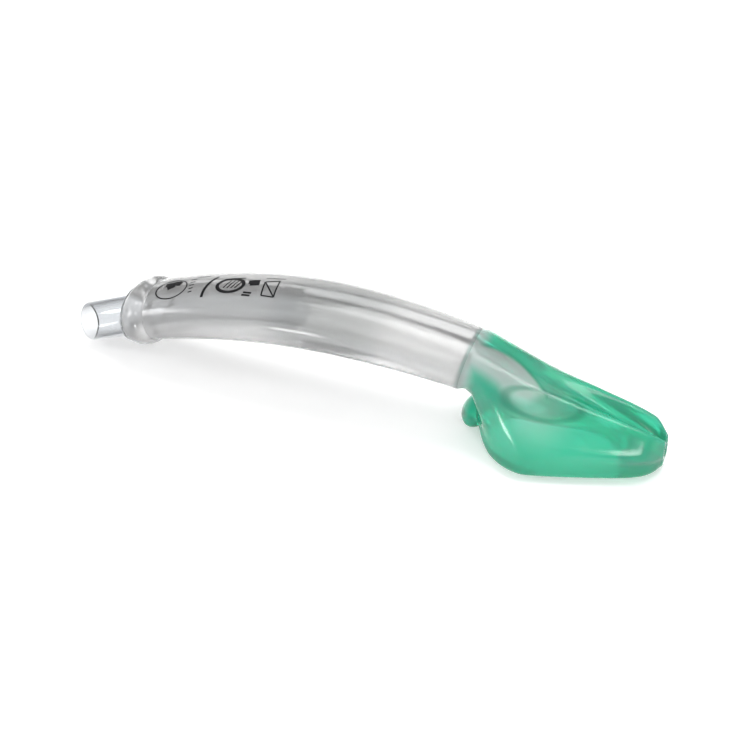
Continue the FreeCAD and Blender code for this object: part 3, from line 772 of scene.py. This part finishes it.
def smooth_fall(value, low, high):
    """1 up to low, 0 from high on, and smooth between."""
    part = min(max((high - value) / (high - low), 0.0), 1.0)
    return part * part * (3 - 2 * part)


def clear_tongue(offset, side):
    """Clearness of the tongue at a place in plan, and how far the place is past its far edge."""
    far_edge = side - through(TONGUE_FAR, offset)
    near_edge = through(TONGUE_NEAR, offset) - side
    within = smooth_fall(far_edge, *FAR_FADE) * smooth_fall(near_edge, *NEAR_FADE)
    before_end = smooth_fall(offset, TONGUE_END - TONGUE_TAPER, TONGUE_END)
    clearness = TONGUE_FAINTEST + (TONGUE_CLEAREST - TONGUE_FAINTEST) * before_end
    return within * clearness, far_edge


def off_outlet_line(offset, side):
    """Millimetres from a place in plan to the oval line of the outlet, less than 0 inside it."""
    cuff = cuff_sizes()
    cosine = math.cos(cuff.outlet_line_turn)
    sine = math.sin(cuff.outlet_line_turn)
    ahead = offset - cuff.outlet_line_offset / MM
    beside = side - cuff.outlet_line_side / MM
    across = (-ahead * sine + beside * cosine) / (cuff.outlet_line_width / MM)
    lengthwise = (ahead * cosine + beside * sine) / (cuff.outlet_line_length / MM)
    return (math.hypot(across, lengthwise) - 1) * cuff.outlet_line_width / MM


def mark_gel(piece):
    """Store how clear and how pale the gel is at each vertex, and how far the throat's lines are."""
    cuff = cuff_sizes()
    joint_x, joint_z, pitch = joint()
    lift = table_height()
    start = Vector((joint_x, 0, joint_z + lift))
    along, _ = directions(pitch)
    tree = near_tree([place.translation for place in throat_frames(0.0, 0.0)])
    patch = Vector((joint_x + cuff.pale_offset, cuff.pale_side, cuff.pale_height + lift))
    marks = {"clear": [], "pale": [], "tongue_edge": [], "outlet_edge": []}
    for vert in piece.data.vertices:
        throat, _, reach = tree.find(vert.co)
        offset = (vert.co.x - joint_x) / MM
        side = vert.co.y / MM
        clearness = smooth_fall((vert.co - start).dot(along), 0.0, coats().fade_length)
        tongue, far_edge = clear_tongue(offset, side)
        if offset < TONGUE_END:
            over_throat = 1 - smooth_fall((vert.co - throat).z / reach, *TONGUE_RISE)
            clearness = max(clearness, tongue * over_throat)
        on_back = (vert.co.z - lift) / MM > LINE_HEIGHT
        to_patch = Vector((vert.co.x, abs(vert.co.y), vert.co.z)) - patch
        marks["clear"].append(clearness)
        marks["pale"].append(PALE_SHARE * smooth_fall(to_patch.length, 0.0, cuff.pale_reach))
        marks["tongue_edge"].append(far_edge if on_back and offset < TONGUE_END else NO_LINE)
        marks["outlet_edge"].append(off_outlet_line(offset, side) if on_back else NO_LINE)
    for name, values in marks.items():
        store_numbers(piece.data, name, values)


# Materials

EVEN_BLEND = 0.5
GRAIN_DETAIL = 3.0


class Wiring:
    """Short ways to add the nodes of a material or a world and to link them."""

    def __init__(self, tree):
        self.nodes = tree.nodes
        self.links = tree.links

    def feed(self, socket, item):
        """Link a socket to another one, or give it a plain number or colour."""
        if isinstance(item, bpy.types.NodeSocket):
            self.links.new(item, socket)
        elif isinstance(item, float):
            socket.default_value = item
        else:
            socket.default_value = (*item, 1.0)

    def math(self, operation, first, second=None):
        """A Math node."""
        node = self.nodes.new("ShaderNodeMath")
        node.operation = operation
        self.feed(node.inputs[0], first)
        if second is not None:
            self.feed(node.inputs[1], second)
        return node.outputs[0]

    def mix(self, factor, first, second):
        """A colour Mix node."""
        node = self.nodes.new("ShaderNodeMix")
        node.data_type = "RGBA"
        for name, item in (("Factor", factor), ("A", first), ("B", second)):
            self.feed(node.inputs[name], item)
        return node.outputs["Result"]

    def step(self, item, low, high):
        """A smooth rise from 0 at low to 1 at high, or a smooth fall where high is the smaller one."""
        node = self.nodes.new("ShaderNodeMapRange")
        node.interpolation_type = "SMOOTHSTEP"
        node.inputs["From Min"].default_value = low
        node.inputs["From Max"].default_value = high
        self.feed(node.inputs["Value"], item)
        return node.outputs["Result"]

    def attribute(self, name):
        """The number that a mesh stores under a name."""
        node = self.nodes.new("ShaderNodeAttribute")
        node.attribute_name = name
        return node.outputs["Fac"]

    def place(self, kind="Object"):
        """Texture coordinates of a kind."""
        return self.nodes.new("ShaderNodeTexCoord").outputs[kind]

    def axes(self, vector):
        """The X, Y and Z of a vector."""
        node = self.nodes.new("ShaderNodeSeparateXYZ")
        self.feed(node.inputs[0], vector)
        return node.outputs

    def edge_on(self, low, high):
        """How far the surface is seen edge on, where more plastic lies in the way of the light; on the
        clear connector and the soft tube the darkening that follows it is also painted shade for the dark
        surroundings that their edges reflect.
        """
        node = self.nodes.new("ShaderNodeLayerWeight")
        node.inputs["Blend"].default_value = EVEN_BLEND
        return self.step(node.outputs["Facing"], low, high)

    def greys(self, item, stops):
        """A ramp of greys, from its places and levels."""
        node = self.nodes.new("ShaderNodeValToRGB")
        ramp = node.color_ramp
        while len(ramp.elements) < len(stops):
            ramp.elements.new(0.5)
        for element, (place, level) in zip(ramp.elements, stops):
            element.position = place
            element.color = (level, level, level, 1.0)
        self.feed(node.inputs[0], item)
        return node.outputs["Color"]

    def grain(self, vector, scale, detail=GRAIN_DETAIL):
        """Noise, for wear and waves."""
        node = self.nodes.new("ShaderNodeTexNoise")
        node.inputs["Scale"].default_value = scale
        node.inputs["Detail"].default_value = detail
        self.feed(node.inputs["Vector"], vector)
        return node.outputs["Fac"]

    def waves(self, shader, vector, scale, strength, height):
        """A faint waviness of the surface."""
        bump = self.nodes.new("ShaderNodeBump")
        bump.inputs["Strength"].default_value = strength
        bump.inputs["Distance"].default_value = height
        self.feed(bump.inputs["Height"], self.grain(vector, scale))
        self.feed(shader.inputs["Normal"], bump.outputs["Normal"])


def new_material(name):
    """A material, its wiring and its shader."""
    material = bpy.data.materials.new(name)
    material.use_nodes = True
    tree = material.node_tree
    return material, Wiring(tree), tree.nodes["Principled BSDF"]


def set_plastic(shader, roughness, ior, clearness=1.0, depth=0.0):
    """Set a see-through plastic, milky to a depth where it is less than fully clear."""
    shader.inputs["Transmission Weight"].default_value = clearness
    shader.inputs["Roughness"].default_value = roughness
    shader.inputs["IOR"].default_value = ior
    if clearness < 1.0:
        shader.inputs["Subsurface Weight"].default_value = 1.0
        shader.inputs["Subsurface Radius"].default_value = (1.0, 1.0, 1.0)
        shader.inputs["Subsurface Scale"].default_value = depth


# Waves of each finish: scale, strength and height
RIGID_WAVES = (120.0, 0.04, 0.2 * MM)
GEL_WAVES = (60.0, 0.12, 0.5 * MM)

# How far edge on each finish starts to darken, and where it is darkest; on the connector this darkening is
# painted shade, on the soft tube partly painted shade
RIGID_EDGE_SHADE = (0.3, 0.75)
SOFT_EDGE = (0.4, 0.95)
GEL_EDGE = (0.3, 0.85)

RIGID_ROUGHNESS = 0.03
RIGID_IOR = 1.5
ELASTIC_IOR = 1.42
# Painted shade on the connector's edges is strongest where the surface faces up; this share of it stays on
# the faces below
SHADE_FACES_UP = (-0.2, 0.6)
SHADE_BELOW = 0.25


def rigid_clear(name):
    """Polished clear plastic with painted shade where it is seen edge on, darkest on its upper side, for
    the dark surroundings that its edges reflect.
    """
    coat = coats()
    material, wiring, shader = new_material(name)
    set_plastic(shader, RIGID_ROUGHNESS, RIGID_IOR)
    normal = wiring.nodes.new("ShaderNodeNewGeometry").outputs["Normal"]
    upper = wiring.step(wiring.axes(normal)["Z"], *SHADE_FACES_UP)
    shade_share = wiring.math("ADD", wiring.math("MULTIPLY", upper, 1.0 - SHADE_BELOW), SHADE_BELOW)
    # Painted shade: near black where seen edge on, most on the upper side
    edge = wiring.math("MULTIPLY", wiring.edge_on(*RIGID_EDGE_SHADE), shade_share)
    wiring.feed(shader.inputs["Base Color"], wiring.mix(edge, coat.clear, coat.clear_edge_shade))
    wiring.waves(shader, wiring.place(), *RIGID_WAVES)
    return material


SOFT_EDGE_STRENGTH = 0.9
SOFT_DEPTH = 3.0 * MM


def soft_clear(name):
    """Soft clear elastomer: a little milky, greyer outside than in its bores, darker half way along, and
    greyer seen edge on, partly from more plastic in the way and partly as painted shade.
    """
    coat = coats()
    material, wiring, shader = new_material(name)
    set_plastic(shader, coat.soft_roughness, ELASTIC_IOR, coat.soft_clearness, SOFT_DEPTH)
    outside = wiring.attribute("outside")
    dark = wiring.math("MULTIPLY", wiring.attribute("dark"), outside)
    mixed = wiring.mix(outside, coat.soft, coat.soft_skin)
    mixed = wiring.mix(dark, mixed, coat.soft_dark)
    # Greyer where seen edge on: partly the thicker plastic in the light's way, partly painted shade of the
    # darker surroundings in the edges
    edge = wiring.math("MULTIPLY", wiring.edge_on(*SOFT_EDGE), SOFT_EDGE_STRENGTH)
    wiring.feed(shader.inputs["Base Color"], wiring.mix(edge, mixed, coat.soft_edge_depth_and_shade))
    return material


GEL_DEPTH = 5.0 * MM
LOW_GREEN = (13.0 * MM, 1.0 * MM)
LOW_GREEN_SHARE = 0.75

# Lines of the throat under the gel: attribute, reach in millimetres and strength
GEL_LINES = (("tongue_edge", 1.5, 0.4), ("outlet_edge", 0.9, 0.5))
LINE_CORE = 0.1


def green_gel(name):
    """Green gel: clear where it meets the tube, then green, and paler where the throat lies in it."""
    coat = coats()
    material, wiring, shader = new_material(name)
    set_plastic(shader, coat.gel_roughness, ELASTIC_IOR, coat.gel_clearness, GEL_DEPTH)
    place = wiring.place()
    low_down = wiring.step(wiring.axes(place)["Z"], *[table_height() + height for height in LOW_GREEN])
    low_down = wiring.math("MULTIPLY", low_down, LOW_GREEN_SHARE)
    deeper = wiring.math("MAXIMUM", wiring.edge_on(*GEL_EDGE), low_down)
    mixed = wiring.mix(deeper, coat.gel, coat.gel_edge)
    mixed = wiring.mix(wiring.attribute("pale"), mixed, coat.gel_pale)
    mixed = wiring.mix(wiring.attribute("clear"), mixed, coat.soft)
    for line_name, reach, strength in GEL_LINES:
        near_line = wiring.step(wiring.math("ABSOLUTE", wiring.attribute(line_name)), reach, LINE_CORE)
        mixed = wiring.mix(wiring.math("MULTIPLY", near_line, strength), mixed, coat.gel_line)
    wiring.feed(shader.inputs["Base Color"], mixed)
    wiring.waves(shader, place, *GEL_WAVES)
    absorb = wiring.nodes.new("ShaderNodeVolumeAbsorption")
    absorb.inputs["Color"].default_value = (*coat.gel_absorption, 1.0)
    absorb.inputs["Density"].default_value = coat.gel_density
    wiring.feed(wiring.nodes["Material Output"].inputs["Volume"], absorb.outputs["Volume"])
    return material


INK_ROUGHNESS = 0.6
INK_SHINE = 0.15
INK_GRAIN = 900.0
INK_GRAIN_DETAIL = 2.0
INK_WEAR = (0.55, 0.8)
RUBBED = 2


def black_ink(name):
    """Matt black print, a little uneven in its cover."""
    ink = coats().ink
    material, wiring, shader = new_material(name)
    shader.inputs["Roughness"].default_value = INK_ROUGHNESS
    shader.inputs["Specular IOR Level"].default_value = INK_SHINE
    worn = wiring.step(wiring.grain(wiring.place(), INK_GRAIN, INK_GRAIN_DETAIL), *INK_WEAR)
    rubbed = tuple(channel * RUBBED for channel in ink)
    wiring.feed(shader.inputs["Base Color"], wiring.mix(worn, ink, rubbed))
    return material


def give(piece, material):
    """Put the material on the piece and let it ride on the body."""
    piece.data.materials.clear()
    piece.data.materials.append(material)
    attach(piece, "root")


# Connector

# A rounded edge turns in two steps, and this is how far the middle one stays from its corner
ROUND_CUT = 0.3


class AIRWAY_OT_connector(bpy.types.Operator):
    """Make the clear connector: cone, plate and bite block"""
    bl_idname = "airway.connector"
    bl_label = "Connector"

    def execute(self, context):
        size = sizes()
        side = -size.connector_shift
        start = size.cone_length
        end = plate_end()
        cone = make_cone(side)
        plate = make_plate(start, end)
        stem_radius = size.airway_bore / 2 + size.stem_wall - size.stem_gap
        stem = lumen("stem", end - size.plate_round, size.stem_end - size.stem_gap, side, stem_radius)
        boolean(cone, [plate, stem], "UNION")
        past = size.plate_thickness
        bore = lumen("bore", -past, size.stem_end + past, side, size.airway_bore / 2)
        port = lumen("port", start - past, end + past, size.gastric_side, size.gastric_bore / 2)
        boolean(cone, [bore, port], "DIFFERENCE")
        shade(cone)
        give(cone, rigid_clear("clear_connector"))
        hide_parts("connector")
        return {"FINISHED"}


def make_cone(side):
    """The male cone, with a lead-in round its mouth, up to the middle of the plate."""
    size = sizes()
    chamfer = size.mouth_chamfer
    mouth = size.mouth_diameter / 2
    outline = ((0.0, mouth - chamfer),
               (chamfer * ROUND_CUT, mouth - chamfer * ROUND_CUT),
               (chamfer, mouth),
               (size.cone_length + size.plate_thickness / 2, size.base_diameter / 2))
    return swept_piece("rigid_connector", [section_frame(d, side, r, r) for d, r in outline])


def make_plate(start, end):
    """The oval plate that closes the tube, with its edges rounded."""
    half_width = sizes().tube_width / 2
    half_depth = half_width * sizes().tube_flatness
    edge = sizes().plate_round
    rim = ((start, -edge), (start + edge * ROUND_CUT, -edge * ROUND_CUT), (start + edge, 0.0),
           (end - edge, 0.0), (end - edge * ROUND_CUT, -edge * ROUND_CUT), (end, -edge))
    return swept_piece("plate", [section_frame(d, 0.0, half_width + grow, half_depth + grow)
                                 for d, grow in rim])


# Soft tube

SMALL_RING = 48
THROAT_ROOT = 3.0 * MM
BEAD_RINGS = 20
BEAD_POWER = 0.7
BEAD_LEAD = 0.1 * MM


def tube_frame(distance, stand):
    """Oval of the tube's outside, or of one that stands proud of it."""
    half_width = tube_half_width(distance)
    return section_frame(distance, 0.0, half_width + stand, half_width * sizes().tube_flatness + stand)


def bead_steps():
    """Places along the bead past the plate, each with how far it stands proud there."""
    size = sizes()
    steps = []
    for i in range(BEAD_RINGS + 1):
        distance = size.collar_length * (1 - math.cos(math.pi * i / BEAD_RINGS)) / 2
        part = (distance + BEAD_LEAD) / (size.collar_length + BEAD_LEAD)
        steps.append((distance, size.collar_stand * math.sin(math.pi * min(part, 1.0)) ** BEAD_POWER))
    return steps


def tube_channel(start, end):
    """Rod of the stomach channel in the tube."""
    radius = sizes().gastric_bore / 2
    frames = []
    for distance in distances(start, end):
        side, rise = gastric_in_tube(distance)
        place = section_frame(distance, side, radius, radius)
        _, over = directions(centre_line(distance)[2])
        place.translation += over * rise
        frames.append(place)
    return swept_piece("channel", frames, SMALL_RING)


class AIRWAY_OT_tube(bpy.types.Operator):
    """Make the soft clear tube with its bead, its pocket, its channel and the throat"""
    bl_idname = "airway.tube"
    bl_label = "Airway Tube"

    def execute(self, context):
        size = sizes()
        seat = plate_end()
        side = -size.connector_shift
        bore = size.airway_bore / 2
        past = coats().step
        frames = [tube_frame(seat + distance, stand) for distance, stand in bead_steps()]
        frames += [tube_frame(distance, 0.0)
                   for distance in distances(seat + size.collar_length + past, size.joint_distance)]
        tube = swept_piece("soft_tube", frames)
        outer = bore + size.throat_wall
        root = section_frame(size.joint_distance - THROAT_ROOT, side, outer, outer)
        throat = swept_piece("throat", [root] + throat_frames(size.throat_wall, 0.0)[1:])
        boolean(tube, [throat], "UNION")
        pocket = lumen("pocket", seat - past, size.stem_end, side, bore + size.stem_wall)
        bore_frames = [section_frame(d, side, bore, bore)
                       for d in distances(size.stem_end - past / 2, size.joint_distance)]
        airway = swept_piece("airway", bore_frames[:-1] + throat_frames(0.0, past))
        channel = tube_channel(seat - past, size.joint_distance + past)
        boolean(tube, [pocket, airway, channel], "DIFFERENCE")
        shade(tube)
        mark_tube(tube)
        give(tube, soft_clear("clear_soft_tube"))
        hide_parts("airway_tube")
        return {"FINISHED"}


# Gel cuff

# How the gel starts inside the tube's end: distance before the joint, and how much smaller it is
GEL_LAP = ((1.5 * MM, 0.35 * MM), (0.3 * MM, 0.15 * MM), (0.0, 0.1 * MM))
BOWL_RINGS = 24
RINGS_BELOW = 2
REST_SEGMENTS = 48
FEWEST_VERTS = 200
EVEN_SMOOTHING = 0.5


def make_body(joint_x, lift):
    """The gel's outside, from its lap in the tube's end to the tip."""
    size = sizes()
    cuff = cuff_sizes()
    points = coats().ring_points
    circle = [Vector((-math.sin(turn), math.cos(turn), 0))
              for turn in (ALL_ROUND * i / points for i in range(points))]
    outlines = []
    for back, smaller in GEL_LAP:
        oval = tube_frame(size.joint_distance - back, -smaller)
        outlines.append([oval @ place for place in circle])
    count = round(cuff.length / cuff.ring_step)
    for i in range(1, count + 1):
        offset = cuff.length * math.sin(math.pi / 2 * i / count)
        loop = smooth_loop(cuff_outline(offset), points)
        outline = [Vector((joint_x + offset, y, z + lift)) for y, z in loop]
        if offset < cuff.blend_length:
            part = offset / cuff.blend_length
            oval = tube_frame(size.joint_distance + offset, -size.throat_grip * (1 - part))
            weight = part * part * (3 - 2 * part)
            outline = [(oval @ place).lerp(end, weight) for place, end in zip(circle, outline)]
        outlines.append(outline)
    return skin("gel_cuff", outlines)


def make_rest(joint_x, lift):
    """The ridge at the heel that keeps the epiglottis up."""
    cuff = cuff_sizes()
    centre = Vector((joint_x + cuff.rest_offset, 0, cuff.rest_centre_height + lift))
    half = Vector((cuff.rest_length, cuff.rest_width, cuff.rest_height)) / 2
    place = Matrix.Translation(centre) @ Matrix.Diagonal(half).to_4x4()
    bm = bmesh.new()
    bmesh.ops.create_uvsphere(bm, u_segments=REST_SEGMENTS, v_segments=REST_SEGMENTS // 2,
                              radius=1.0, matrix=place)
    return finish_mesh(bm, "rest")


def make_bowl(joint_x):
    """The hollow of the cuff, from below the rim up to its ceiling."""
    cuff = cuff_sizes()
    frames = []
    for i in range(-RINGS_BELOW, BOWL_RINGS + 1):
        part = max(i, 0) / BOWL_RINGS
        spread = math.sqrt(1 - part ** 2)
        height = cuff.ceiling_height * part + min(i, 0) * coats().step
        length = cuff.ceiling_length + (cuff.bowl_length - cuff.ceiling_length) * spread
        width = cuff.ceiling_width + (cuff.bowl_width - cuff.ceiling_width) * spread
        centre = cuff.ceiling_centre + (cuff.bowl_centre - cuff.ceiling_centre) * spread
        place = Matrix.Diagonal((length / 2, width / 2, 1.0)).to_4x4()
        place.translation = Vector((joint_x + centre, 0, height + table_height()))
        frames.append(place)
    return swept_piece("bowl", frames)


def cuff_channel():
    """Rod of the stomach channel in the cuff, from inside the tube's end to past the tip."""
    length = cuff_sizes().length
    past = coats().step
    radius = sizes().gastric_bore / 2
    count = round(length / past)
    places = [gastric_in_cuff(length * i / count) for i in range(count + 1)]
    places.insert(0, places[0] - (places[1] - places[0]).normalized() * past)
    places.append(places[-1] + Vector((past, 0, 0)))
    frames = []
    for i, place in enumerate(places):
        before = places[max(i - 1, 0)]
        after = places[min(i + 1, len(places) - 1)]
        frames.append(oval_frame(place, after - before, radius, radius))
    return swept_piece("cuff_channel", frames, SMALL_RING)


def soften(piece, voxel, rounds):
    """Skin the piece with small even faces and round its edges as a moulded gel has them."""
    remesh = piece.modifiers.new("skin", "REMESH")
    remesh.mode = "VOXEL"
    remesh.voxel_size = voxel
    smooth = piece.modifiers.new("smooth", "SMOOTH")
    smooth.factor = EVEN_SMOOTHING
    smooth.iterations = rounds
    settle(piece)
    drop_crumbs(piece, FEWEST_VERTS)
    shade(piece, ALL_SMOOTH)


class AIRWAY_OT_cuff(bpy.types.Operator):
    """Make the green gel cuff with its rest, its bowl and its channel"""
    bl_idname = "airway.cuff"
    bl_label = "Cuff"

    def execute(self, context):
        size = sizes()
        joint_x, _, _ = joint()
        lift = table_height()
        cuff = make_body(joint_x, lift)
        boolean(cuff, [make_rest(joint_x, lift)], "UNION")
        seat = swept_piece("seat", throat_frames(size.throat_wall - size.throat_grip, coats().step))
        boolean(cuff, [make_bowl(joint_x), seat, cuff_channel()], "DIFFERENCE")
        soften(cuff, coats().gel_voxel, coats().gel_smoothing)
        mark_gel(cuff)
        give(cuff, green_gel("green_gel"))
        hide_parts("cuff")
        return {"FINISHED"}


# Print on the tube, with places in millimetres along it and degrees round it from its top

PRINT_LIFT = 0.02 * MM
PRINT_THICKNESS = 0.03 * MM
PRINT_MERGE = 0.001 * MM

# Millimetres of the tube's skin to a degree round it, where the print is
TURN_LENGTH = 0.27

# Each ring as centre, half its length, half its turn and the width of its line
RINGS = (((42.0, -10.0), 6.3, 20.0, 0.55), ((66.2, -7.0), 5.0, 13.5, 1.3))
BENT_LINE = ((59.0, 14.0), (56.0, -6.0), (56.8, -30.0), 1.1)
BOX_CORNERS = ((78.6, 3.0), (79.8, -23.0), (84.6, -24.0), (83.6, 8.0))
BOX_LINE = 0.55

# Each bar as start, end and width
BARS = [
    ((38.6, -1.0), (44.6, 3.0), 2.4), ((40.2, -9.0), (42.8, -3.0), 2.2), ((42.2, 2.0), (45.2, 0.0), 2.6),
    ((72.6, 0.0), (76.6, 3.0), 2.2), ((73.6, -5.0), (77.0, -3.0), 1.2),
    ((72.6, -20.0), (75.8, -20.5), 0.8), ((72.4, -24.5), (75.6, -25.0), 0.8),
    ((62.6, 6.0), (70.4, 10.0), 0.6), ((78.0, 12.0), (85.0, 15.0), 0.4), ((50.0, 15.0), (55.0, 18.0), 0.4),
]
BARS += [((48.4 + 0.45 * i, 8.0 - 7.0 * i), (50.4 + 0.3 * i, 10.0 - 7.0 * i), 0.5) for i in range(5)]
BARS += [((64.0 + 1.5 * i, -13.0), (65.6 + 1.5 * i, 3.0), 0.5) for i in range(4)]


def on_tube(along, turn, lift):
    """A place on the tube's skin or over it."""
    angle = math.radians(turn)
    return tube_frame(along * MM, lift) @ Vector((math.sin(angle), math.cos(angle), 0))


def stroke(bm, path, width, steps=1):
    """One printed line: path gives its place along and round the tube at a share from 0 to 1."""
    made = bmesh.ops.create_grid(bm, x_segments=steps, y_segments=1, size=0.5)["verts"]
    small = 0.5 / steps
    for vert in made:
        t = vert.co.x + 0.5
        side = 1.0 if vert.co.y > 0 else -1.0
        along, turn = path(t)
        along_before, turn_before = path(t - small)
        along_after, turn_after = path(t + small)
        run = Vector((along_after - along_before, (turn_after - turn_before) * TURN_LENGTH)).normalized()
        half = width * side / 2
        vert.co = on_tube(along - run.y * half, turn + run.x * half / TURN_LENGTH, PRINT_LIFT)


def bar(bm, start, end, width):
    """A straight line."""
    def path(t):
        return start[0] + (end[0] - start[0]) * t, start[1] + (end[1] - start[1]) * t
    stroke(bm, path, width, steps=4)


def bent_bar(bm, start, middle, end, width):
    """A line that bends towards a middle place."""
    def path(t):
        return tuple((1 - t) ** 2 * a + 2 * t * (1 - t) * b + t * t * c
                     for a, b, c in zip(start, middle, end))
    stroke(bm, path, width, steps=12)


def ring(bm, centre, half_length, half_turn, width):
    """A closed oval line."""
    def path(t):
        angle = ALL_ROUND * t
        return centre[0] + half_length * math.cos(angle), centre[1] + half_turn * math.sin(angle)
    stroke(bm, path, width, steps=48)


class AIRWAY_OT_print(bpy.types.Operator):
    """Print plain marks on the tube: rings, bars, a bent line and a crossed box"""
    bl_idname = "airway.print"
    bl_label = "Print"

    def execute(self, context):
        bm = bmesh.new()
        for marks in RINGS:
            ring(bm, *marks)
        for marks in BARS:
            bar(bm, *marks)
        bent_bar(bm, *BENT_LINE)
        for start, end in zip(BOX_CORNERS, BOX_CORNERS[1:] + BOX_CORNERS[:1]):
            bar(bm, start, end, BOX_LINE)
        bar(bm, BOX_CORNERS[0], BOX_CORNERS[2], BOX_LINE)
        bmesh.ops.remove_doubles(bm, verts=bm.verts, dist=PRINT_MERGE)
        bmesh.ops.recalc_face_normals(bm, faces=bm.faces)
        bmesh.ops.solidify(bm, geom=bm.faces[:], thickness=-PRINT_THICKNESS)
        piece = finish_mesh(bm, "tube_print")
        give(piece, black_ink("black_ink"))
        return {"FINISHED"}


# Studio

FLOOR_SIZE = 3.0
FLOOR_ROUGHNESS = 0.9
WHITE = (1.0, 1.0, 1.0, 1.0)

# Glow of the floor for the eye, and for what the plastic bends and mirrors
SEEN_GLOW = 0.35
BENT_GLOW = 0.52

# Each lamp as name, place, power in watts, width and height
LAMPS = (
    ("top_lamp", (0.1, 0.25, 0.9), 5.5, 0.8, 0.4),
    ("front_lamp", (0.56, -0.76, 0.5), 2.4, 0.28, 0.22),
    ("side_lamp", (-0.85, -0.25, 0.4), 2.0, 0.22, 0.3),
    ("low_lamp", (-0.32, -0.8, 0.16), 1.2, 0.14, 0.12),
)
LAMP_AIM = (0.0, 0.0, 0.02)

# How bright the studio is, from straight down over the horizon to straight up
SKY = ((0.0, 0.95), (0.5, 0.9), (0.6, 0.7), (0.7, 0.45), (0.85, 0.5), (1.0, 0.8))

SENSOR_WIDTH = 36.0
CLIP_START = 0.01


def make_floor():
    """A pale floor, under the object at the height of the table."""
    bm = bmesh.new()
    bmesh.ops.create_grid(bm, x_segments=1, y_segments=1, size=FLOOR_SIZE / 2)
    floor = finish_mesh(bm, "floor")
    material, wiring, shader = new_material("paper")
    shader.inputs["Base Color"].default_value = (*coats().paper, 1.0)
    shader.inputs["Roughness"].default_value = FLOOR_ROUGHNESS
    shader.inputs["Specular IOR Level"].default_value = 0.0
    shader.inputs["Emission Color"].default_value = WHITE
    ray = wiring.nodes.new("ShaderNodeLightPath").outputs
    bent = wiring.math("MAXIMUM", ray["Is Glossy Ray"], ray["Is Transmission Ray"])
    glow = wiring.math("MAXIMUM", wiring.math("MULTIPLY", ray["Is Camera Ray"], SEEN_GLOW),
                       wiring.math("MULTIPLY", bent, BENT_GLOW))
    wiring.feed(shader.inputs["Emission Strength"], glow)
    floor.data.materials.append(material)


def add_lamp(name, place, power, width, height):
    """A soft lamp that looks at the object."""
    data = bpy.data.lights.new(name, "AREA")
    data.shape = "RECTANGLE"
    data.size = width
    data.size_y = height
    data.energy = power
    lamp = bpy.data.objects.new(name, data)
    bpy.context.scene.collection.objects.link(lamp)
    lamp.location = place
    lamp.rotation_euler = (Vector(LAMP_AIM) - Vector(place)).to_track_quat("-Z", "Y").to_euler()


def make_world():
    """A studio that is white to the eye, and darker overhead for what the plastic bends and mirrors."""
    world = bpy.data.worlds.new("studio")
    bpy.context.scene.world = world
    world.use_nodes = True
    wiring = Wiring(world.node_tree)
    height = wiring.axes(wiring.place("Generated"))["Z"]
    share_up = wiring.math("ADD", wiring.math("MULTIPLY", height, 0.5), 0.5)
    studio = wiring.nodes["Background"]
    wiring.feed(studio.inputs["Color"], wiring.greys(share_up, SKY))
    seen = wiring.nodes.new("ShaderNodeBackground")
    seen.inputs["Color"].default_value = WHITE
    mix = wiring.nodes.new("ShaderNodeMixShader")
    ray = wiring.nodes.new("ShaderNodeLightPath").outputs
    wiring.feed(mix.inputs[0], ray["Is Camera Ray"])
    wiring.feed(mix.inputs[1], studio.outputs[0])
    wiring.feed(mix.inputs[2], seen.outputs[0])
    wiring.feed(wiring.nodes["World Output"].inputs["Surface"], mix.outputs[0])


def make_camera():
    """The camera, where the photograph was taken from."""
    place = bpy.context.scene.airway_camera
    data = bpy.data.cameras.new("camera")
    data.lens = place.lens
    data.sensor_width = SENSOR_WIDTH
    data.clip_start = CLIP_START
    camera = bpy.data.objects.new("camera", data)
    bpy.context.scene.collection.objects.link(camera)
    back = Vector((math.sin(place.azimuth) * math.cos(place.elevation),
                   -math.cos(place.azimuth) * math.cos(place.elevation),
                   math.sin(place.elevation)))
    camera.location = Vector(place.aim) + back * place.distance
    camera.rotation_euler = (-back).to_track_quat("-Z", "Y").to_euler()
    bpy.context.scene.camera = camera


class AIRWAY_OT_stage(bpy.types.Operator):
    """Set up the pale floor, the soft light and the camera"""
    bl_idname = "airway.stage"
    bl_label = "Studio"

    def execute(self, context):
        make_floor()
        for lamp in LAMPS:
            add_lamp(*lamp)
        make_world()
        make_camera()
        context.scene.view_settings.view_transform = "Standard"
        return {"FINISHED"}


class AIRWAY_PT_panel(bpy.types.Panel):
    """Lists the pieces of the airway"""
    bl_idname = "AIRWAY_PT_panel"
    bl_label = "Airway"
    bl_space_type = "VIEW_3D"
    bl_region_type = "UI"
    bl_category = "Airway"

    def draw(self, context):
        for operator in PIECES:
            self.layout.operator(operator.bl_idname)


PIECES = (AIRWAY_OT_connector, AIRWAY_OT_tube, AIRWAY_OT_print, AIRWAY_OT_cuff, AIRWAY_OT_stage)
CLASSES = (AirwaySizes, CuffSizes, CoatSizes, CameraPlace) + PIECES + (AIRWAY_PT_panel,)


def register():
    for item in CLASSES:
        bpy.utils.register_class(item)
    bpy.types.Scene.airway_sizes = PointerProperty(type=AirwaySizes)
    bpy.types.Scene.airway_cuff = PointerProperty(type=CuffSizes)
    bpy.types.Scene.airway_coats = PointerProperty(type=CoatSizes)
    bpy.types.Scene.airway_camera = PointerProperty(type=CameraPlace)


def unregister():
    del bpy.types.Scene.airway_camera
    del bpy.types.Scene.airway_coats
    del bpy.types.Scene.airway_cuff
    del bpy.types.Scene.airway_sizes
    for item in reversed(CLASSES):
        bpy.utils.unregister_class(item)


def main():
    """Make every piece and the studio."""
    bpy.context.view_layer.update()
    register()
    bpy.ops.airway.connector()
    bpy.ops.airway.tube()
    bpy.ops.airway.print()
    bpy.ops.airway.cuff()
    bpy.ops.airway.stage()


if __name__ == "__main__":
    main()
